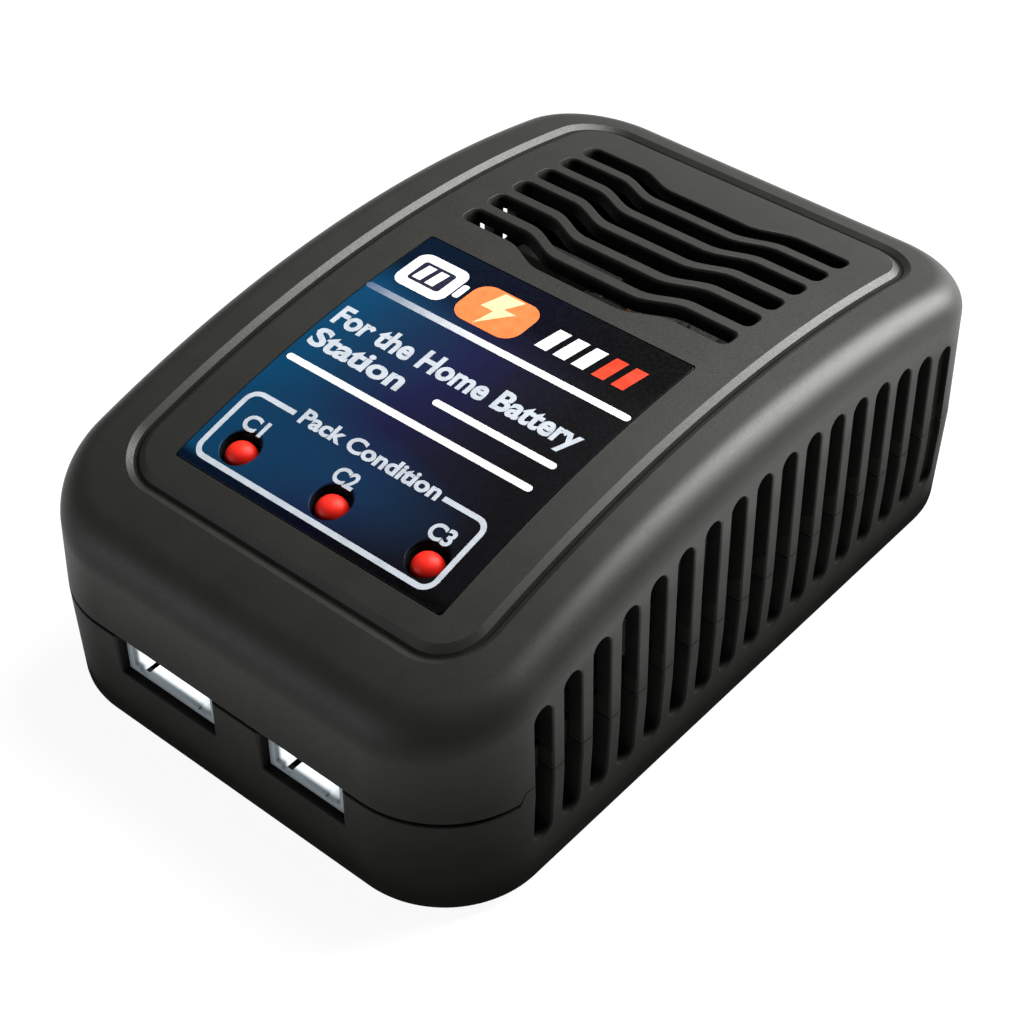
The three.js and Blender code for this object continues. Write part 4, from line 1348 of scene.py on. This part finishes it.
for label, ways, x in (("three_cell", 4, THREE_CELL_X), ("two_cell", 3, TWO_CELL_X)):
    shroud = socket_shroud(x, ways)
    shroud.name = f"{label}_shroud"
    nylon = white_nylon(f"{label}_nylon", x + socket_width(ways) / 2)
    settle(shroud, nylon, "socket_plastic", f"{label}_socket")
    for i in range(ways):
        pin = socket_pin(x + (i - (ways - 1) / 2) * SOCKET_PITCH)
        pin.name = f"{label}_contact_{i + 1}"
        settle(pin, TIN, "tinned_pin", f"{label}_pin_{i + 1}")

# ---------------------------------------------------------------- finishes on the remaining nodes

# The finish of each slot, and how far the edges of its pieces are rounded
FINISHES = {
    "inlet_plastic": (inlet_black(), 0.12),
    "plated_mains_pin": (plated("mains_pin_plating", (0.72, 0.70, 0.67)), 0.12),
    "zinc_steel": (plated("zinc_plating", (0.45, 0.45, 0.43), 0.34), 0.12),
    "circuit_board": (board_green(), 0.1),
    "copper_winding": (wound_wire("copper_wire", (0.20, 0.05, 0.012), (0.62, 0.22, 0.06)), 0.5),
}
# The same for plain finishes: slot, name, its two tones, roughness and the rounding of edges
PLAIN_FINISHES = [
    ("foot_rubber", "foot_rubber", (0.012, 0.012, 0.012), (0.02, 0.02, 0.02), 0.85, 0.12),
    ("ferrite", "ferrite", (0.035, 0.033, 0.031), (0.06, 0.055, 0.05), 0.7, 0.35),
    ("bobbin_plastic", "bobbin_black", (0.012, 0.012, 0.012), (0.018, 0.018, 0.018), 0.45, 0.25),
    ("yellow_tape", "yellow_tape", (0.17, 0.11, 0.013), (0.22, 0.145, 0.02), 0.6, 0.5),
    ("bulk_can_sleeve", "black_sleeve", (0.005, 0.005, 0.007), (0.008, 0.008, 0.011), 0.6, 0.45),
    ("output_can_sleeve", "blue_sleeve", (0.008, 0.022, 0.075), (0.014, 0.036, 0.11), 0.3, 0.4),
    ("filter_box_plastic", "grey_box", (0.07, 0.068, 0.06), (0.10, 0.096, 0.085), 0.6, 0.4),
    ("fuse_box_plastic", "black_box", (0.02, 0.02, 0.02), (0.03, 0.03, 0.03), 0.5, 0.3),
    ("chip_epoxy", "chip_epoxy", (0.013, 0.013, 0.013), (0.02, 0.02, 0.02), 0.5, 0.12),
    ("resistor_body", "resistor_black", (0.015, 0.015, 0.017), (0.024, 0.024, 0.027), 0.3, 0.12),
    ("aluminium_sink", "black_anodised", (0.010, 0.010, 0.011), (0.016, 0.016, 0.017), 0.6, 0.15),
    ("blue_disc", "blue_disc", (0.01, 0.06, 0.24), (0.02, 0.10, 0.34), 0.3, 0.6),
    ("drum_winding", "drum_sleeve", (0.015, 0.015, 0.015), (0.025, 0.025, 0.025), 0.4, 0.4),
]
for slot, name, dark, light, roughness, softness in PLAIN_FINISHES:
    FINISHES[slot] = (plain_finish(name, dark, light, roughness), softness)


def cad_copy(node, softness):
    """A copy of a CAD node in millimetres, cleaned up and with its edges rounded."""
    source = frame["nodes"][node]
    piece = in_scene(f"{node}_finished", source.data.copy())
    piece.data.transform(source.matrix_world)
    piece.data.transform(Matrix.Scale(1 / MM, 4))
    piece.data.transform(Matrix.Translation((0, 0, -STAND)))
    with editing(piece) as edited:
        bmesh.ops.remove_doubles(edited, verts=edited.verts, dist=0.001)
        bmesh.ops.dissolve_limit(edited, angle_limit=math.radians(1), verts=edited.verts, edges=edited.edges)
    return bevelled(piece, softness, 3)


def mains_inlet():
    """The two-pole inlet: a block with a figure-eight recess, its mouth eased, and a hole for each pin."""
    face = CASE_LENGTH / 2 - DRAFT
    half = INLET_WIDTH / 2
    rise = INLET_HEIGHT / 2
    low = (-half, face - INLET_DEPTH, INLET_Z - rise)
    body = bevelled(block("mains_inlet_body", low, (half, face, INLET_Z + rise)), 0.4, 3)
    facing = Matrix.Rotation(math.radians(90), 4, "X")
    radius = INLET_LOBE
    bore, behind = INLET_PIN_BORE, INLET_DEPTH + 1
    lobe = [(0, -1), (radius + 0.4, -1), (radius + 0.4, 0), (radius + 0.12, 0.12), (radius, 0.4)]
    lobe += [(radius, INLET_RECESS), (0, INLET_RECESS)]
    for side in (-1, 1):
        for profile in (lobe, [(0, -1), (bore, -1), (bore, behind), (0, behind)]):
            hole = transformed(turned("hole", profile), facing)
            cut(body, moved(hole, side * INLET_LOBE_OFFSET, face, INLET_Z))
    waist_low = (-INLET_LOBE_OFFSET, face - INLET_RECESS, INLET_Z - INLET_WAIST)
    waist_high = (INLET_LOBE_OFFSET, face + 1, INLET_Z + INLET_WAIST)
    return cut(body, block("waist", waist_low, waist_high))


def rubber_foot(x, y):
    low = -STAND
    radius = FOOT_RADIUS
    profile = [(0, low), (radius - 0.8, low), (radius - 0.45, low + 0.06), (radius - 0.15, low + 0.25)]
    profile += [(radius, low + 0.5), (radius, 0.1), (0, 0.1)]
    return moved(turned("rubber_foot_pad", profile), x, y)


def pan_screw(x, y, low, high):
    """A pan-head screw pointing up, with a domed head, a cross recess and a thread."""
    z = low + SCREW_HEAD_HEIGHT
    profile = [(0, low), (1.4, low + 0.05), (2.1, low + 0.3), (2.45, low + 0.8), (SCREW_HEAD, low + 1.2)]
    profile += [(SCREW_HEAD, z), (SCREW_CORE, z)]
    while z < high - 1.6:
        profile += [(SCREW_CORE, z + 0.25), (SCREW_THREAD, z + 0.5), (SCREW_CORE, z + 0.75)]
        z += SCREW_PITCH
    profile += [(0.9, high - 0.6), (0, high)]
    screw = turned("pan_screw", profile)
    for wide, deep in ((CROSS_WING, CROSS_HALF), (CROSS_HALF, CROSS_WING)):
        cut(screw, block("recess", (-wide, -deep, low - 1), (wide, deep, low + CROSS_DEPTH)))
    return moved(screw, x, y)


made = {}
for i in range(4):
    for node, maker in ((f"rubber_foot_{i + 1}", rubber_foot), (f"case_screw_{i + 1}", pan_screw)):
        low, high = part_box(node)
        middle = (low + high) / 2 / MM
        ends = (low.z / MM - STAND, high.z / MM - STAND) if maker is pan_screw else ()
        made[node] = maker(middle.x, middle.y, *ends)
made["mains_inlet"] = mains_inlet()
slots = {entry["node"]: entry["material_slot"] for entry in frame["record"]["subparts"]}
for node in list(frame["nodes"]):
    slot = slots[node]
    if slot in FINISHES:
        material, softness = FINISHES[slot]
        piece = made.get(node) or cad_copy(node, softness)
        piece.name = f"{node}_finished"
        settle(piece, material, slot, node)

# ---------------------------------------------------------------- floor, light and camera


def floor():
    half_m = 3
    corner = [(-half_m, -half_m, 0), (half_m, -half_m, 0), (half_m, half_m, 0), (-half_m, half_m, 0)]
    mesh = bpy.data.meshes.new("studio_floor")
    mesh.from_pydata(corner, [], [(0, 1, 2, 3)])
    shader = Shader("floor_white", Roughness=0.9, Specular_IOR_Level=0.0)
    shader.surface.inputs["Base Color"].default_value = (0.14, 0.14, 0.14, 1)
    shader.surface.inputs["Emission Color"].default_value = (1, 1, 1, 1)
    shader.surface.inputs["Emission Strength"].default_value = 0.93
    mesh.materials.append(shader.material)
    in_scene("studio_floor", mesh)


def soft_light(name, towards, distance_m, width_m, height_m, watts, colour):
    """A soft light placed in a direction from the object's middle and facing it."""
    light = bpy.data.lights.new(name, "AREA")
    light.shape = "RECTANGLE"
    light.size = width_m
    light.size_y = height_m
    light.energy = watts
    light.color = colour
    holder = in_scene(name, light)
    direction = Vector(towards).normalized()
    target = Vector((0, 0, 0.015))
    holder.location = target + direction * distance_m
    holder.rotation_euler = direction.to_track_quat("Z", "Y").to_euler()


def world_light(strength):
    world = bpy.data.worlds.new("studio_world")
    world.use_nodes = True
    background = next(n for n in world.node_tree.nodes if n.type == "BACKGROUND")
    background.inputs["Color"].default_value = (1, 1, 1, 1)
    background.inputs["Strength"].default_value = strength
    bpy.context.scene.world = world


def camera():
    """The camera at the photograph's viewing angle: azimuth from the front, elevation and a slight roll."""
    aim = Matrix.Rotation(math.radians(40.38), 4, "Z")
    aim @= Matrix.Rotation(math.radians(90 - 41.67), 4, "X")
    aim @= Matrix.Rotation(math.radians(0.03), 4, "Z")
    data = bpy.data.cameras.new("photo_camera")
    data.sensor_width = 36
    data.lens = 76.2706
    data.clip_start = 0.01
    data.clip_end = 20
    holder = in_scene("photo_camera", data)
    holder.matrix_world = Matrix.Translation((0.10997, -0.13224, 0.16155)) @ aim
    bpy.context.scene.camera = holder


floor()
world_light(0.05)
soft_light("key_rear", (0.25, 0.69, 0.67), 0.6, 0.36, 0.80, 12.6, (1.0, 1.0, 0.97))
soft_light("fill_front", (-0.46, -0.80, 0.13), 0.8, 0.5, 0.28, 2.1, (0.97, 0.98, 1.0))
camera()
bpy.context.scene.view_settings.view_transform = "Standard"
